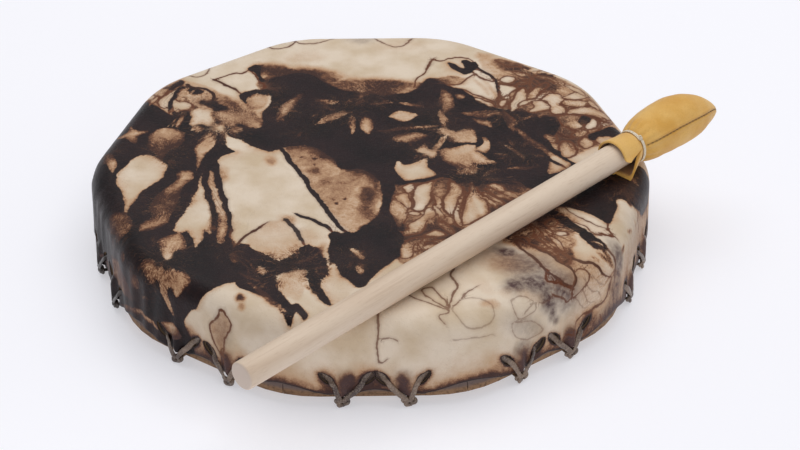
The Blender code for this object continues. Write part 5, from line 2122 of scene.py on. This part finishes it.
@dataclass
class Lacing:
    """Twenty laces: a thong through two slits, its knot, and the strand to the hold."""

    loom: StrapLoom
    arms: int = 4
    pitch: float = 4.4
    thong_section: Point = (3.6, 1.1)
    knot_section: Point = (2.8, 2.1)
    strand_section: Point = (2.6, 1.5)

    def thong(self, number: int, draw: np.random.Generator) -> Run:
        """The thong from the knot through one slit, behind the hide and back.

        Args:
            number: the station.
            draw: source of the small differences between stations.

        Returns:
            The run in the station's frame.
        """
        half = np.array([
            (-0.5, 2.4, 3.8), (-1.2, 2.9, 5.4), (-2.7, 2.7, 7.6), (-4.6, 2.2, 10.3),
            (-6.6, 1.6, 13.0), (-8.2, 0.6, 15.2), (-9.5, -0.8, 16.8), (-10.9, -1.9, 18.5),
            (-12.2, -2.08, 21.0), (-10.6, -2.08, 25.7), (-5.0, -2.08, 26.4)])
        other = half[::-1] * (-1, 1, 1)
        lift = PLAN.slit_shift(number) * ease(4.0, 15.0, half[:, 2])
        half[:, 0] += lift
        other[:, 0] += lift[::-1]
        shift = draw.uniform(-0.3, 0.3, (2, 11, 3)) * (1, 0.25, 1)
        shift[:, 7:] = 0
        path = np.vstack([half + shift[0], other + shift[1][::-1]])
        smooth = curve_through(path, per_span=4)
        face = np.tile((0.0, 1.0, 0.0), (len(smooth), 1))
        share = np.linspace(-1, 1, len(smooth))
        face[:, 0] = 0.35 * np.sin(9 * share + draw.uniform(0, 6)) * (np.abs(share) > 0.45)
        return Run(smooth, face, 1.0 - 0.3 * np.abs(share) ** 4)

    def knot(self, draw: np.random.Generator) -> Run:
        """A pulled-tight overhand knot in front of the frame's foot.

        Args:
            draw: source of its own small differences.

        Returns:
            The run in the station's frame.
        """
        turn = np.linspace(0.25, TURN - 0.25, 44)
        size = draw.uniform(0.92, 1.06, 3)
        x = (np.sin(turn) + 2 * np.sin(2 * turn)) * 1.2 * size[0]
        z = (np.cos(turn) - 2 * np.cos(2 * turn)) * 0.8 * size[2]
        y = -np.sin(3 * turn) * 0.75 * size[1]
        lean = draw.uniform(-0.25, 0.25)
        path = np.column_stack([x + lean * z, y + 1.75, np.maximum(z + 3.4, 1.3)])
        face = np.column_stack([0 * x, 0 * x + 1, 0.3 * np.cos(turn)])
        return Run(path, face, 0.95 + 0.1 * np.sin(5 * turn))

    def hold_end(self, number: int) -> Array:
        """Where a lace's strand goes into the hold, in millimetres.

        Args:
            number: the station.

        Returns:
            The place.
        """
        angles = []
        for station in range(STATIONS):
            place = PLAN.station_frame(station).translation
            angles.append(math.atan2(place.y, place.x))
        spread = TURN / self.arms

        def arm_of(angle: float) -> float:
            """Direction of the arm nearest to an angle."""
            return HOLD_ARM + round((angle - HOLD_ARM) / spread) * spread

        arm = arm_of(angles[number])
        mates = sorted((a for a in angles if math.isclose(math.cos(arm_of(a) - arm), 1.0)),
                       key=lambda a: math.sin(a - arm))
        slot = mates.index(angles[number]) - (len(mates) - 1) / 2
        along = np.array([math.cos(arm), math.sin(arm)])
        across = np.array([-math.sin(arm), math.cos(arm)])
        flat = along * (HOLD_REACH - 1.5) + across * slot * self.pitch
        return np.array([*flat, 6.0])

    def strand(self, number: int, draw: np.random.Generator) -> Run:
        """The twisted strand from the knot to the hold.

        Args:
            number: the station.
            draw: source of its own small sway.

        Returns:
            The run on the drum.
        """
        frame = PLAN.station_frame(number)
        start = np.array(frame @ Vector((0.0, 0.8, 2.0)))
        foot = np.array(frame @ Vector((0.0, -18.0, 2.1)))
        end = self.hold_end(number)
        share = np.linspace(0, 1, 90)[:, None]
        path = np.vstack([start + (foot - start) * np.linspace(0, 0.9, 6)[:, None],
                          foot + (end - foot) * share])
        length = np.concatenate([[0], np.cumsum(np.linalg.norm(np.diff(path, axis=0), axis=1))])
        ahead = (end - foot) / np.linalg.norm(end - foot)
        side = np.cross(ahead, (0.0, 0.0, 1.0))
        side /= np.linalg.norm(side)
        up = np.cross(side, ahead)
        turn = length / draw.uniform(13, 19) * math.pi + draw.uniform(0, 3)
        turn = turn[:, None] * ease(4, 24, length)[:, None]
        girth = 1 + 0.05 * np.sin(length / 3.1) + 0.04 * np.sin(length / 1.7 + 1)
        return Run(path, np.cos(turn) * up + np.sin(turn) * side, girth)

    def build(self, material: Material) -> list[Object]:
        """All laces, on their body and in place of their solids.

        Args:
            material: the lacing rawhide.

        Returns:
            The laces in order.
        """
        laces = []
        for number in range(STATIONS):
            draw = np.random.default_rng(100 + number)
            frame = PLAN.station_frame(number)
            meshes = [
                self.loom.sweep([self.thong(number, draw).moved(frame)], self.thong_section,
                                material),
                self.loom.sweep([self.knot(draw).moved(frame)], self.knot_section, material),
                self.loom.sweep([self.strand(number, draw)], self.strand_section, material)]
            lace = add_piece(joined("lace", meshes), f"rawhide_lace_{number + 1:02d}")
            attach(lace, "root")
            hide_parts(f"lace_{number + 1:02d}")
            laces.append(lace)
        return laces


# Hold


@dataclass(frozen=True)
class WrapFinish:
    """Undyed rawhide strip, worn smooth by the hand."""

    pale: Colour = shade(190, 162, 124)
    middle: Colour = shade(156, 124, 88)
    dark: Colour = shade(104, 76, 52)

    def make(self) -> Material:
        """The material.

        Returns:
            The rawhide of the wrap.
        """
        material, weave, shader = finish_of("hold wrap", 0.5, 0.4)
        place = weave.place()
        broad = weave.noise(place, 45.0, 3.0)
        fine = weave.noise(place, 700.0, 3.0, 0.6)
        colour = weave.mix(weave.steps(broad, 0.35, 0.65), self.middle, self.pale)
        colour = weave.mix(weave.steps(fine, 0.5, 0.75, 0.0, 0.6), colour, self.dark)
        weave.dress(shader, colour, weave.bump(fine, 0.0003, 0.6),
                    weave.steps(fine, 0.3, 0.7, 0.42, 0.6))
        return material


@dataclass
class HandHold:
    """The cross behind the drum: four arms wound with a strip, and lashings over the crossing."""

    loom: StrapLoom
    height: float = 13.0
    strip: float = 5.0
    thick: float = 1.5
    turns: float = 9.0
    lashing: Point = (4.2, 1.3)

    @staticmethod
    def half_width(x: Array) -> Array:
        """Half the width of an arm at a distance from the crossing."""
        return np.interp(np.abs(x), (0, 15, 50), (9.0, 7.5, 11.0))

    def around(self, x: Array, turn: Array, deep: float) -> Array:
        """Places around an arm.

        Args:
            x: distances from the crossing.
            turn: angles around the arm, 0 on its left.
            deep: how far the places lie inside its outside.

        Returns:
            The places in the arm's frame.
        """
        half = self.half_width(x) - deep
        middle = self.height / 2
        rise = np.clip(middle * 1.12 * np.sin(turn), -middle, middle) * (1 - deep / middle)
        return np.column_stack([x, half * np.cos(turn), middle + rise])

    def core(self, deep: float) -> tuple[Array, list[Face]]:
        """One wrapped bar under the winding, this deep inside the outside.

        Args:
            deep: the depth, in millimetres.

        Returns:
            The places and the faces.
        """
        turn = TURN * np.arange(28) / 28
        rings = [self.around(np.full(28, x), turn, deep + 0.8 * (abs(x) > 48))
                 for x in np.linspace(-HOLD_REACH + 0.4, HOLD_REACH - 0.4, 41)]
        return lofted([ring[::-1] for ring in rings])

    def winding(self, sign: float, seed: int) -> Run:
        """The strip wound round one arm from its end to the crossing.

        Args:
            sign: which way the arm points.
            seed: angle at which the strip starts.

        Returns:
            The run in the arm's frame.
        """
        share = np.linspace(0, 1, 260)
        turn = TURN * self.turns * share + seed
        x = sign * (HOLD_REACH - 2.6 - (HOLD_REACH - 13.5) * share)
        x += 0.3 * np.sin(turn * 0.5 + seed)
        path = self.around(x, turn, self.thick / 2)
        face = self.around(x, turn, 0.0) - self.around(x, turn, 4.0)
        face[:, 0] = 0
        return Run(path, face, 1 + 0.04 * np.sin(3.1 * turn))

    def lashings(self) -> list[Run]:
        """Strips that cross the middle from corner to corner, over the top.

        Returns:
            The runs in the first arm's frame.
        """
        runs = []
        for lean in (45.0, 135.0):
            for shift in (-4.4, 0.0, 4.4):
                share = np.linspace(-1, 1, 30)
                turn = math.radians(lean)
                across = np.array([-math.sin(turn), math.cos(turn), 0])
                ahead = np.array([math.cos(turn), math.sin(turn), 0])
                path = ahead * 11.5 * share[:, None] + across * shift
                path[:, 2] = 12.3 - 10.2 * np.abs(share) ** 5 + 0.35 * (lean > 90)
                face = np.tile((0.0, 0.0, 1.0), (30, 1)) + ahead * share[:, None] ** 5
                runs.append(Run(path, face))
        return runs

    def build(self, material: Material) -> Object:
        """The hold, on its body and in place of its solid.

        Args:
            material: the wrap.

        Returns:
            The finished object.
        """
        shell = Shell()
        runs = []
        for number in range(2):
            frame = Matrix.Rotation(HOLD_ARM + number * math.pi / 2, 4, "Z")
            places, faces = self.core(1.0 + 0.25 * number)
            shell.add(places @ np.array(frame.to_3x3()).T, faces)
            for sign in (-1.0, 1.0):
                runs.append(self.winding(sign, 2 * number + int(sign > 0)).moved(frame))
        frame = Matrix.Rotation(HOLD_ARM, 4, "Z")
        ties = [run.moved(frame) for run in self.lashings()]
        core = shell.mesh("core")
        core.materials.append(material)
        wound = self.loom.sweep(runs, (self.strip, self.thick), material, 12)
        lashed = self.loom.sweep(ties, self.lashing, material, 12)
        hold = add_piece(joined("hold", [core, wound, lashed]), "wound_hand_hold")
        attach(hold, "root")
        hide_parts("hand_hold")
        return hold


# Frame


@dataclass(frozen=True)
class BoardFinish:
    """Brown frame wood, grey and rough in a band just under the hide's edge."""

    number: int
    base: Colour = shade(126, 92, 64)
    pale: Colour = shade(160, 125, 92)
    dark: Colour = shade(84, 60, 44)
    band: Colour = shade(104, 90, 88)
    out: float = 0.157

    def make(self, effects: Effects) -> Material:
        """The material of one board; its grain runs along the side.

        Args:
            effects: the shared shader groups.

        Returns:
            The wood.
        """
        material, weave, shader = finish_of(f"frame board {self.number + 1:02d}", 0.6, 0.35)
        turn = 1.5 * math.pi + self.number * 2 * PLAN.half
        middle = (self.out * math.cos(turn), self.out * math.sin(turn), 0.01 * self.number)
        place = weave.place(-turn - math.pi / 2, middle=middle)
        grain = weave.group(effects.grain, Vector=place)
        colour = weave.mix(weave.steps(grain.outputs["Tone"], 0.35, 0.65), self.base, self.pale)
        speck = weave.noise(place, 520.0, 3.0, 0.65)
        colour = weave.mix(weave.steps(speck, 0.5, 0.68, 0.0, 0.75), colour, self.dark)
        colour = weave.mix(weave.steps(grain.outputs["Lines"], 0.5, 0.75, 0.0, 0.6), colour,
                           self.dark)
        height = weave.parts(weave.local())[2]
        rough_edge = weave.onto(grain.outputs["Tone"], 0.004, height)
        near_hide = weave.steps(rough_edge, 0.0085, 0.0105)
        colour = weave.mix(weave.times(near_hide, 0.8), colour, self.band)
        bumps = weave.onto(grain.outputs["Pores"], -0.6, grain.outputs["Lines"])
        weave.dress(shader, colour, weave.bump(bumps, 0.0003, 0.5),
                    weave.steps(speck, 0.3, 0.7, 0.5, 0.72))
        return material


@dataclass
class FrameRing:
    """The ten boards of the frame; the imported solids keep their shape."""

    def finish(self, nodes: dict[str, Object], effects: Effects) -> list[Object]:
        """Give each board its wood.

        Args:
            nodes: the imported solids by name.
            effects: the shared shader groups.

        Returns:
            The boards in order.
        """
        boards = [nodes[f"frame_stave_{number + 1:02d}"] for number in range(PLAN.sides)]
        for number, board in enumerate(boards):
            material = BoardFinish(number).make(effects)
            for place in board.material_slots:
                place.material = material
        return boards


# Beater


@dataclass(frozen=True)
class DowelFinish:
    """Pale unfinished hardwood; the butt's end grain is grey."""

    pale: Colour = shade(226, 206, 184)
    middle: Colour = shade(212, 188, 164)
    line: Colour = shade(178, 146, 118)
    end: Colour = shade(212, 194, 180)

    def make(self, effects: Effects) -> Material:
        """The material.

        Args:
            effects: the shared shader groups.

        Returns:
            The wood.
        """
        material, weave, shader = finish_of("dowel wood", 0.5, 0.4)
        place = weave.read("grain")
        grain = weave.group(effects.grain, Vector=place)
        colour = weave.mix(weave.steps(grain.outputs["Tone"], 0.35, 0.62), self.middle, self.pale)
        lines = weave.steps(grain.outputs["Lines"], 0.55, 0.75, 0.0, 0.22)
        colour = weave.mix(lines, colour, self.line)
        colour = weave.mix(weave.times(grain.outputs["Pores"], 0.25), colour, self.line)
        along = weave.parts(place)[0]
        colour = weave.mix(weave.steps(along, 0.0009, 0.0002, 0.0, 0.85), colour, self.end)
        weave.dress(shader, colour, weave.bump(grain.outputs["Lines"], 0.0001, 0.5))
        return material


@dataclass(frozen=True)
class BuckskinFinish:
    """Soft golden hide with a nap; dark along its seam and inside the collar."""

    gold: Colour = shade(218, 165, 78)
    pale: Colour = shade(230, 184, 104)
    deep: Colour = shade(184, 130, 62)
    seam: Colour = shade(120, 76, 34)
    inside: Colour = shade(150, 104, 54)

    def make(self, effects: Effects) -> Material:
        """The material.

        Args:
            effects: the shared shader groups.

        Returns:
            Leather that darkens by the mesh's attribute seam.
        """
        material, weave, shader = finish_of("golden buckskin", 0.82, 0.2, Sheen_Weight=0.28,
                                            Sheen_Roughness=0.5)
        place = weave.place()
        broad = weave.noise(place, 60.0, 3.0, 0.5)
        nap = weave.noise(place, 1500.0, 3.0, 0.7)
        pores = weave.group(effects.pores, Vector=place, Size=0.0012)
        colour = weave.mix(weave.steps(broad, 0.35, 0.62), self.gold, self.pale)
        colour = weave.mix(weave.steps(nap, 0.5, 0.75, 0.0, 0.45), colour, self.deep)
        seam, inside, _ = weave.parts(weave.read("seam"))
        colour = weave.mix(weave.times(seam, 0.7), colour, self.seam)
        colour = weave.mix(inside, colour, self.inside)
        height = weave.onto(pores.outputs["Height"], 0.5, nap)
        weave.dress(shader, colour, weave.bump(height, 0.00015, 0.7))
        return material


@dataclass(frozen=True)
class ThreadFinish:
    """Waxed thread or clear sinew."""

    name: str
    colour: Colour
    deep: Colour
    roughness: float

    def make(self) -> Material:
        """The material.

        Returns:
            The thread.
        """
        material, weave, shader = finish_of(self.name, self.roughness, 0.6)
        strands = weave.noise(weave.place(), 1800.0, 2.0)
        colour = weave.mix(weave.steps(strands, 0.4, 0.65), self.colour, self.deep)
        weave.dress(shader, colour, weave.bump(strands, 0.0001, 0.5))
        return material


@dataclass
class StitchRow(NodeTool):
    """Geometry Nodes that lay one stitch at each point of a row."""

    def __post_init__(self) -> None:
        """Build the tree."""
        weave, given = self.begin("stitch row", Length=Socket.NUMBER, Thread=Socket.NUMBER)
        ball = weave.filled("GeometryNodeMeshUVSphere", {"Segments": 12, "Rings": 10, "Radius": 0.5})
        thread = given.outputs["Thread"]
        stitch = weave.filled("GeometryNodeTransform", {
            "Geometry": ball.outputs[0],
            "Scale": weave.joined(thread, given.outputs["Length"], thread)})
        turn = weave.node("FunctionNodeEulerToRotation")
        weave.feed(turn.inputs[0], self.named(weave, "turn", "FLOAT_VECTOR"))
        row = weave.filled("GeometryNodeInstanceOnPoints", {
            "Points": given.outputs["Source"], "Instance": stitch.outputs[0],
            "Rotation": turn.outputs[0]})
        self.end(weave, given, row.outputs[0])

    def lay(self, places: Array, turns: Array, size: Point, material: Material) -> Mesh:
        """A row of stitches.

        Args:
            places: middles of the stitches, in millimetres.
            turns: their turns, as XYZ angles.
            size: length of a stitch and width of its thread, in millimetres.
            material: its material.

        Returns:
            One plain mesh.
        """
        mesh = bpy.data.meshes.new("stitch places")
        mesh.from_pydata((places * MM).tolist(), [], [])
        write_values(mesh, "turn", turns)
        length, thread = size
        return self.run(mesh, material, Length=length * MM, Thread=thread * MM)


@dataclass
class Beater:
    """The beater that lies over the drum's rim: dowel, stuffed leather head, stitches and tie."""

    loom: StrapLoom
    effects: Effects
    radius: float = 7.95
    length: float = 344.5
    end_round: float = 1.4
    butt: tuple[float, float] = (-68.75, -213.6)
    heading: float = math.radians(43.53)
    crossing: float = 96.0
    neck: float = 306.0
    neck_height: float = 11.1
    rest_height: float = 8.25
    tip: float = 70.3
    droop: Point = (0.92, 0.40)
    stitch: Point = (1.7, 0.3)
    stitch_pitch: float = 2.8
    stitch_lean: float = math.radians(62)
    sinew: Point = (0.8, 0.7)
    seam: float = math.radians(-68)
    flap: float = math.radians(-123)
    flap_out: float = 7.0
    flap_spread: float = math.radians(95)
    collar: float = 18.0
    columns: int = 180
    outside: tuple[Point, ...] = (
        (70.3, 0.6), (70.0, 2.0), (69.0, 3.6), (66.0, 6.4), (60.4, 10.0), (51.8, 13.4),
        (43.1, 15.0), (34.5, 15.4), (25.9, 15.1), (17.3, 14.4), (8.6, 12.9), (3.0, 10.7),
        (1.0, 9.3), (-1.0, 9.3), (-3.0, 9.7), (-8.0, 10.0), (-13.0, 10.55), (-17.4, 11.1))
    lip: tuple[Point, ...] = ((-18.0, 10.9), (-18.2, 10.4), (-18.0, 9.8))
    inside: tuple[Point, ...] = ((-17.4, 9.55), (-13.0, 9.0), (-8.0, 8.5), (-3.0, 8.25),
                                 (39.0, 8.25))

    @property
    def rise(self) -> float:
        """How steeply the dowel climbs from the rim to its head."""
        return math.atan2(self.neck_height - self.rest_height, self.neck - self.crossing)

    @property
    def axis(self) -> Matrix:
        """Frame of the butt, in millimetres: X along the dowel, Y to the left, Z up.

        Returns:
            The frame.
        """
        height = PLAN.head_top + self.rest_height - self.crossing * math.tan(self.rise)
        turn = Matrix.Rotation(self.heading, 4, "Z") @ Matrix.Rotation(-self.rise, 4, "Y")
        return Matrix.Translation((*self.butt, height)) @ turn

    def placed(self, local: Array) -> Array:
        """Places in the drum's frame for places along the beater."""
        axis = np.array(self.axis)
        return local @ axis[:3, :3].T + axis[:3, 3]

    def dowel(self) -> Object:
        """The dowel with softly rounded ends.

        Returns:
            The finished object.
        """
        bends = np.linspace(0, math.pi / 2, 6)
        start = [(self.end_round * (1 - math.cos(t)), self.radius - self.end_round * (1 - math.sin(t)))
                 for t in bends]
        along = np.linspace(self.end_round, self.length - self.end_round, 60)[1:-1]
        ends = [(self.length - x, r) for x, r in reversed(start)]
        turns = TURN * np.arange(64) / 64
        rings = []
        for x, reach in [*start, *((x, self.radius) for x in along), *ends]:
            rings.append(np.column_stack([np.full(64, x), reach * np.cos(turns),
                                          reach * np.sin(turns)]))
        places, faces = lofted(rings)
        faces = [face[::-1] for face in faces]
        shell = Shell()
        shell.add(self.placed(places), faces)
        mesh = shell.mesh("dowel")
        write_values(mesh, "grain", places * MM)
        mesh.set_sharp_from_angle(angle=SHARP)
        dowel = add_piece(mesh, "turned_dowel", DowelFinish().make(self.effects))
        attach(dowel, "root")
        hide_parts("beater_dowel")
        return dowel

    def sway(self, along: Array) -> Array:
        """How far the head's middle lies off the dowel's line."""
        share = np.clip(np.asarray(along, float) / self.tip, 0, 1)
        return -1.1 * np.sin(math.pi * np.minimum(1.35 * share, 1)) + 6.0 * share ** 7

    def flap_reach(self, turn: Array, along: float) -> Array:
        """How far the collar's open lower lip stands off the dowel.

        Args:
            turn: angles around the dowel.
            along: place along it from the neck.

        Returns:
            The added radius at each angle.
        """
        opening = min(max(-along / self.collar, 0.0), 1.0)
        away = (turn - self.flap + math.pi) % TURN - math.pi
        spread = np.where(away < 0, self.flap_spread, self.seam - self.flap)
        fade = np.cos(0.5 * math.pi * np.minimum(np.abs(away) / spread, 1)) ** 1.5
        return self.flap_out * fade * opening ** 1.3

    def lowest(self, along: float) -> float:
        """Height of the hide's top on the beater's own Z, with a small gap."""
        return 0.3 - self.rest_height - (self.neck + along - self.crossing) * math.tan(self.rise)

    def head_ring(self, along: float, radius: float, inner: bool) -> tuple[Array, Array]:
        """One ring of the leather and how dark it is.

        Args:
            along: place from the neck.
            radius: plain radius there.
            inner: whether the ring is inside the collar.

        Returns:
            The places along the beater, and for each the seam's and the inside's shade.
        """
        turn = TURN * np.arange(self.columns) / self.columns
        reach = radius + self.flap_reach(turn, along)
        away = ((turn - self.seam + math.pi) % TURN - math.pi) * radius
        seam = np.zeros(self.columns)
        if not inner and along > 0:
            fade = min(1.0, along / 4) * min(1.0, (71 - along) / 6)
            stitch = 0.5 + 0.5 * math.cos(TURN * along / self.stitch_pitch)
            reach = reach + fade * (0.5 * hump(np.abs(away) - 1.6, 0.9) - 0.5 * hump(away, 0.5))
            reach = reach - fade * 0.3 * stitch * hump(np.abs(away) - 2.0, 0.9)
            gathers = 0.42 * math.exp(-((along - 2) / 7) ** 2) * (radius / 12)
            reach = reach + gathers * np.cos(15 * turn + 0.6 * np.sin(3 * turn))
            seam = 0.7 * fade * hump(away, 0.4) + 0.2 * fade * hump(away, 2.2)
        places = np.column_stack([np.full(self.columns, along), reach * np.sin(turn),
                                  reach * np.cos(turn)])
        if not inner:
            soft = ripple(places, 13.0, 41) * 0.16 * min(radius / 12, 1)
            places[:, 1:] *= (1 + soft / max(radius, 1))[:, None]
            centre = self.sway(along)
            places[:, 1] -= self.droop[0] * centre
            places[:, 2] -= self.droop[1] * centre
        if along < 0:
            lowest = self.lowest(along) + (1.5 if inner else 0.0)
            places[:, 2] = np.maximum(places[:, 2], lowest)
        places[:, 0] += self.neck
        shades = np.column_stack([seam, np.full(self.columns, float(inner)), np.zeros(self.columns)])
        return places, shades

    def head(self) -> Object:
        """The stuffed leather head with its open collar.

        Returns:
            The finished object.
        """
        outer = curve_through(np.array(self.outside), per_span=5)
        profile = [(*point, False) for point in outer] + [(*point, False) for point in self.lip]
        profile += [(*point, True) for point in self.inside]
        rings, shades = zip(*(self.head_ring(*row) for row in profile))
        places, faces = lofted(list(rings))
        shell = Shell()
        shell.add(places, faces)
        mesh = shell.mesh("head")
        write_values(mesh, "seam", np.vstack(shades))
        whole = add_piece(mesh, "head", BuckskinFinish().make(self.effects))
        mesh = cut_out(whole, self.notch(), "leather head")
        write_places(mesh, self.placed(read_places(mesh)))
        mesh.set_sharp_from_angle(angle=math.radians(55))
        head = add_piece(mesh, "leather_head")
        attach(head, "root")
        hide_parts("beater_head")
        return head

    def notch(self) -> Mesh:
        """The wedge that opens the collar between its seam and its flap.

        Returns:
            The mesh.
        """
        middle = (self.seam + self.flap) / 2
        outward = np.array([0, math.sin(middle), math.cos(middle)])
        tangent = np.array([0, math.cos(middle), -math.sin(middle)])
        corners = ((-1.5, 4.4), (-9.0, 3.0), (-15.0, 2.4), (-18.0, 3.6), (-21.0, 7.0),
                   (-21.0, -20.0), (-18.0, -17.0), (-17.0, -12.0), (-15.4, -8.0), (-13.0, -4.6),
                   (-10.0, -1.6), (-6.0, 1.4))
        rings = [np.array([(self.neck + a, 0, 0) + tangent * b + outward * reach
                           for a, b in corners]) for reach in (3.0, 26.0)]
        places, faces = lofted(rings)
        shell = Shell()
        shell.add(places, faces)
        return shell.mesh("notch")

    def stitches(self) -> Object:
        """The whip stitches over the seam, from the tie to the tip.

        Returns:
            The finished object.
        """
        outer = curve_through(np.array(self.outside), per_span=5)[::-1]
        along = np.arange(3.2, 69.0, self.stitch_pitch)
        reach = np.interp(along, outer[:, 0], outer[:, 1]) - 0.05
        local, turns = [], []
        axis = self.axis.to_3x3()
        for x, r in zip(along, reach):
            centre = float(self.sway(x))
            local.append((self.neck + x, r * math.sin(self.seam) - self.droop[0] * centre,
                          r * math.cos(self.seam) - self.droop[1] * centre))
            slant = Matrix.Rotation(-self.seam, 3, "X") @ Matrix.Rotation(self.stitch_lean, 3, "Z")
            turns.append((axis @ slant).to_euler("XYZ")[:])
        material = ThreadFinish("waxed thread", shade(74, 46, 24), shade(48, 30, 18), 0.5).make()
        mesh = StitchRow().lay(self.placed(np.array(local)), np.array(turns), self.stitch, material)
        row = add_piece(mesh, "head_stitches")
        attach(row, "root")
        return row

    def tie(self) -> Object:
        """The clear sinew wound round the neck and its knot.

        Returns:
            The finished object.
        """
        share = np.linspace(0, 1, 150)
        turn = TURN * 3 * share - 0.7
        reach = 9.95 + 0.1 * np.sin(5 * turn)
        x = self.neck - 0.95 + 1.9 * share + 0.1 * np.sin(turn * 1.3)
        path = np.column_stack([x, reach * np.sin(turn), reach * np.cos(turn)])
        face = path * (0, 1, 1)
        bend = np.linspace(0, TURN, 26)
        knot = np.column_stack([self.neck + 0.9 * np.cos(bend), -6.0 + 1.1 * np.sin(bend),
                                8.9 + 0.5 * np.sin(2 * bend) + 0.25 * np.sin(bend)])
        material = ThreadFinish("clear sinew", shade(238, 229, 210), shade(206, 188, 158), 0.25).make()
        runs = [Run(path, face).moved(self.axis), Run(knot, knot * (0, 1, 1)).moved(self.axis)]
        tie = add_piece(self.loom.sweep(runs, self.sinew, material, 8), "sinew_tie")
        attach(tie, "root")
        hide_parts("beater_neck_tie")
        return tie

    def build(self) -> list[Object]:
        """All pieces of the beater."""
        return [self.dowel(), self.head(), self.stitches(), self.tie()]


# Studio


@dataclass(frozen=True)
class Lamp:
    """A large soft light, in metres and watts, that looks at a point."""

    name: str
    place: Spot
    size: tuple[float, float]
    power: float
    target: Spot = (0.0, 0.0, 0.03)


@dataclass
class Studio:
    """Pale floor, even white surroundings, soft lights and the camera."""

    lamps: tuple[Lamp, ...] = (
        Lamp("overhead", (0.15, 0.4, 1.6), (2.2, 1.6), 19.0),
        Lamp("front fill", (0.3, -2.0, 0.9), (1.6, 1.0), 6.0),
    )
    floor_half: float = 6000.0
    lens: float = 99.27
    sensor: float = 36.0
    eye: Spot = (-0.01138, -1.10167, 0.74806)
    heading: float = math.atan2(0.02151, 0.83062)
    pitch: float = math.asin(-0.55642)
    roll: float = math.radians(-0.2168)

    def world(self) -> None:
        """White surroundings."""
        world = bpy.data.worlds.new("studio")
        world.use_nodes = True
        back = world.node_tree.nodes["Background"]
        back.inputs["Color"].default_value = shade(252, 252, 255)
        back.inputs["Strength"].default_value = 0.38
        bpy.context.scene.world = world

    def floor(self) -> None:
        """A plain pale floor with a faint gloss and a faint glow, painted light from below."""
        shell = Shell()
        corners = np.array([(-1, -1, 0), (1, -1, 0), (1, 1, 0), (-1, 1, 0)]) * self.floor_half
        shell.add(corners, [(0, 1, 2, 3)])
        # The floor's emission is painted light: it lights the drum from below and softens its shadow.
        material, _, shader = finish_of("studio floor", 0.22, 0.35, Emission_Strength=0.45)
        shader.inputs["Base Color"].default_value = shade(200, 200, 205)
        shader.inputs["Emission Color"].default_value = shade(250, 250, 255)
        floor = add_piece(shell.mesh("studio_floor"), "studio_floor", material)

    def lights(self) -> None:
        """The soft lights."""
        for lamp in self.lamps:
            data = bpy.data.lights.new(lamp.name, "AREA")
            data.shape = "RECTANGLE"
            data.size, data.size_y = lamp.size
            data.energy = lamp.power
            light = in_scene(lamp.name, data)
            light.location = lamp.place
            look = Vector(lamp.target) - Vector(lamp.place)
            light.rotation_euler = look.to_track_quat("-Z", "Y").to_euler()

    def camera(self) -> None:
        """The view of the photograph, without depth of field."""
        data = bpy.data.cameras.new("view")
        data.lens = self.lens
        data.sensor_width = self.sensor
        view = in_scene("view", data)
        turn = (Matrix.Rotation(-self.heading, 4, "Z")
                @ Matrix.Rotation(math.pi / 2 + self.pitch, 4, "X")
                @ Matrix.Rotation(-self.roll, 4, "Z"))
        view.matrix_world = Matrix.Translation(self.eye) @ turn
        bpy.context.scene.camera = view

    def build(self) -> None:
        """Everything around the object."""
        self.world()
        self.floor()
        self.lights()
        self.camera()
        bpy.context.scene.view_settings.view_transform = "Standard"


def report(*pieces: Object) -> None:
    """Log pieces that are finished."""
    for piece in pieces:
        log.info("%s: %d faces", piece.name, len(piece.data.polygons))


def main() -> None:
    """Finish the drum and its beater."""
    logging.basicConfig(level=logging.INFO, format="%(message)s")
    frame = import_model()
    effects = Effects()
    loom = StrapLoom()
    report(DrumHead().build(effects))
    report(*FrameRing().finish(frame["nodes"], effects))
    report(*Lacing(loom).build(LaceFinish().make()))
    report(HandHold(loom).build(WrapFinish().make()))
    report(*Beater(loom, effects).build())
    Studio().build()


if __name__ == "__main__":
    main()
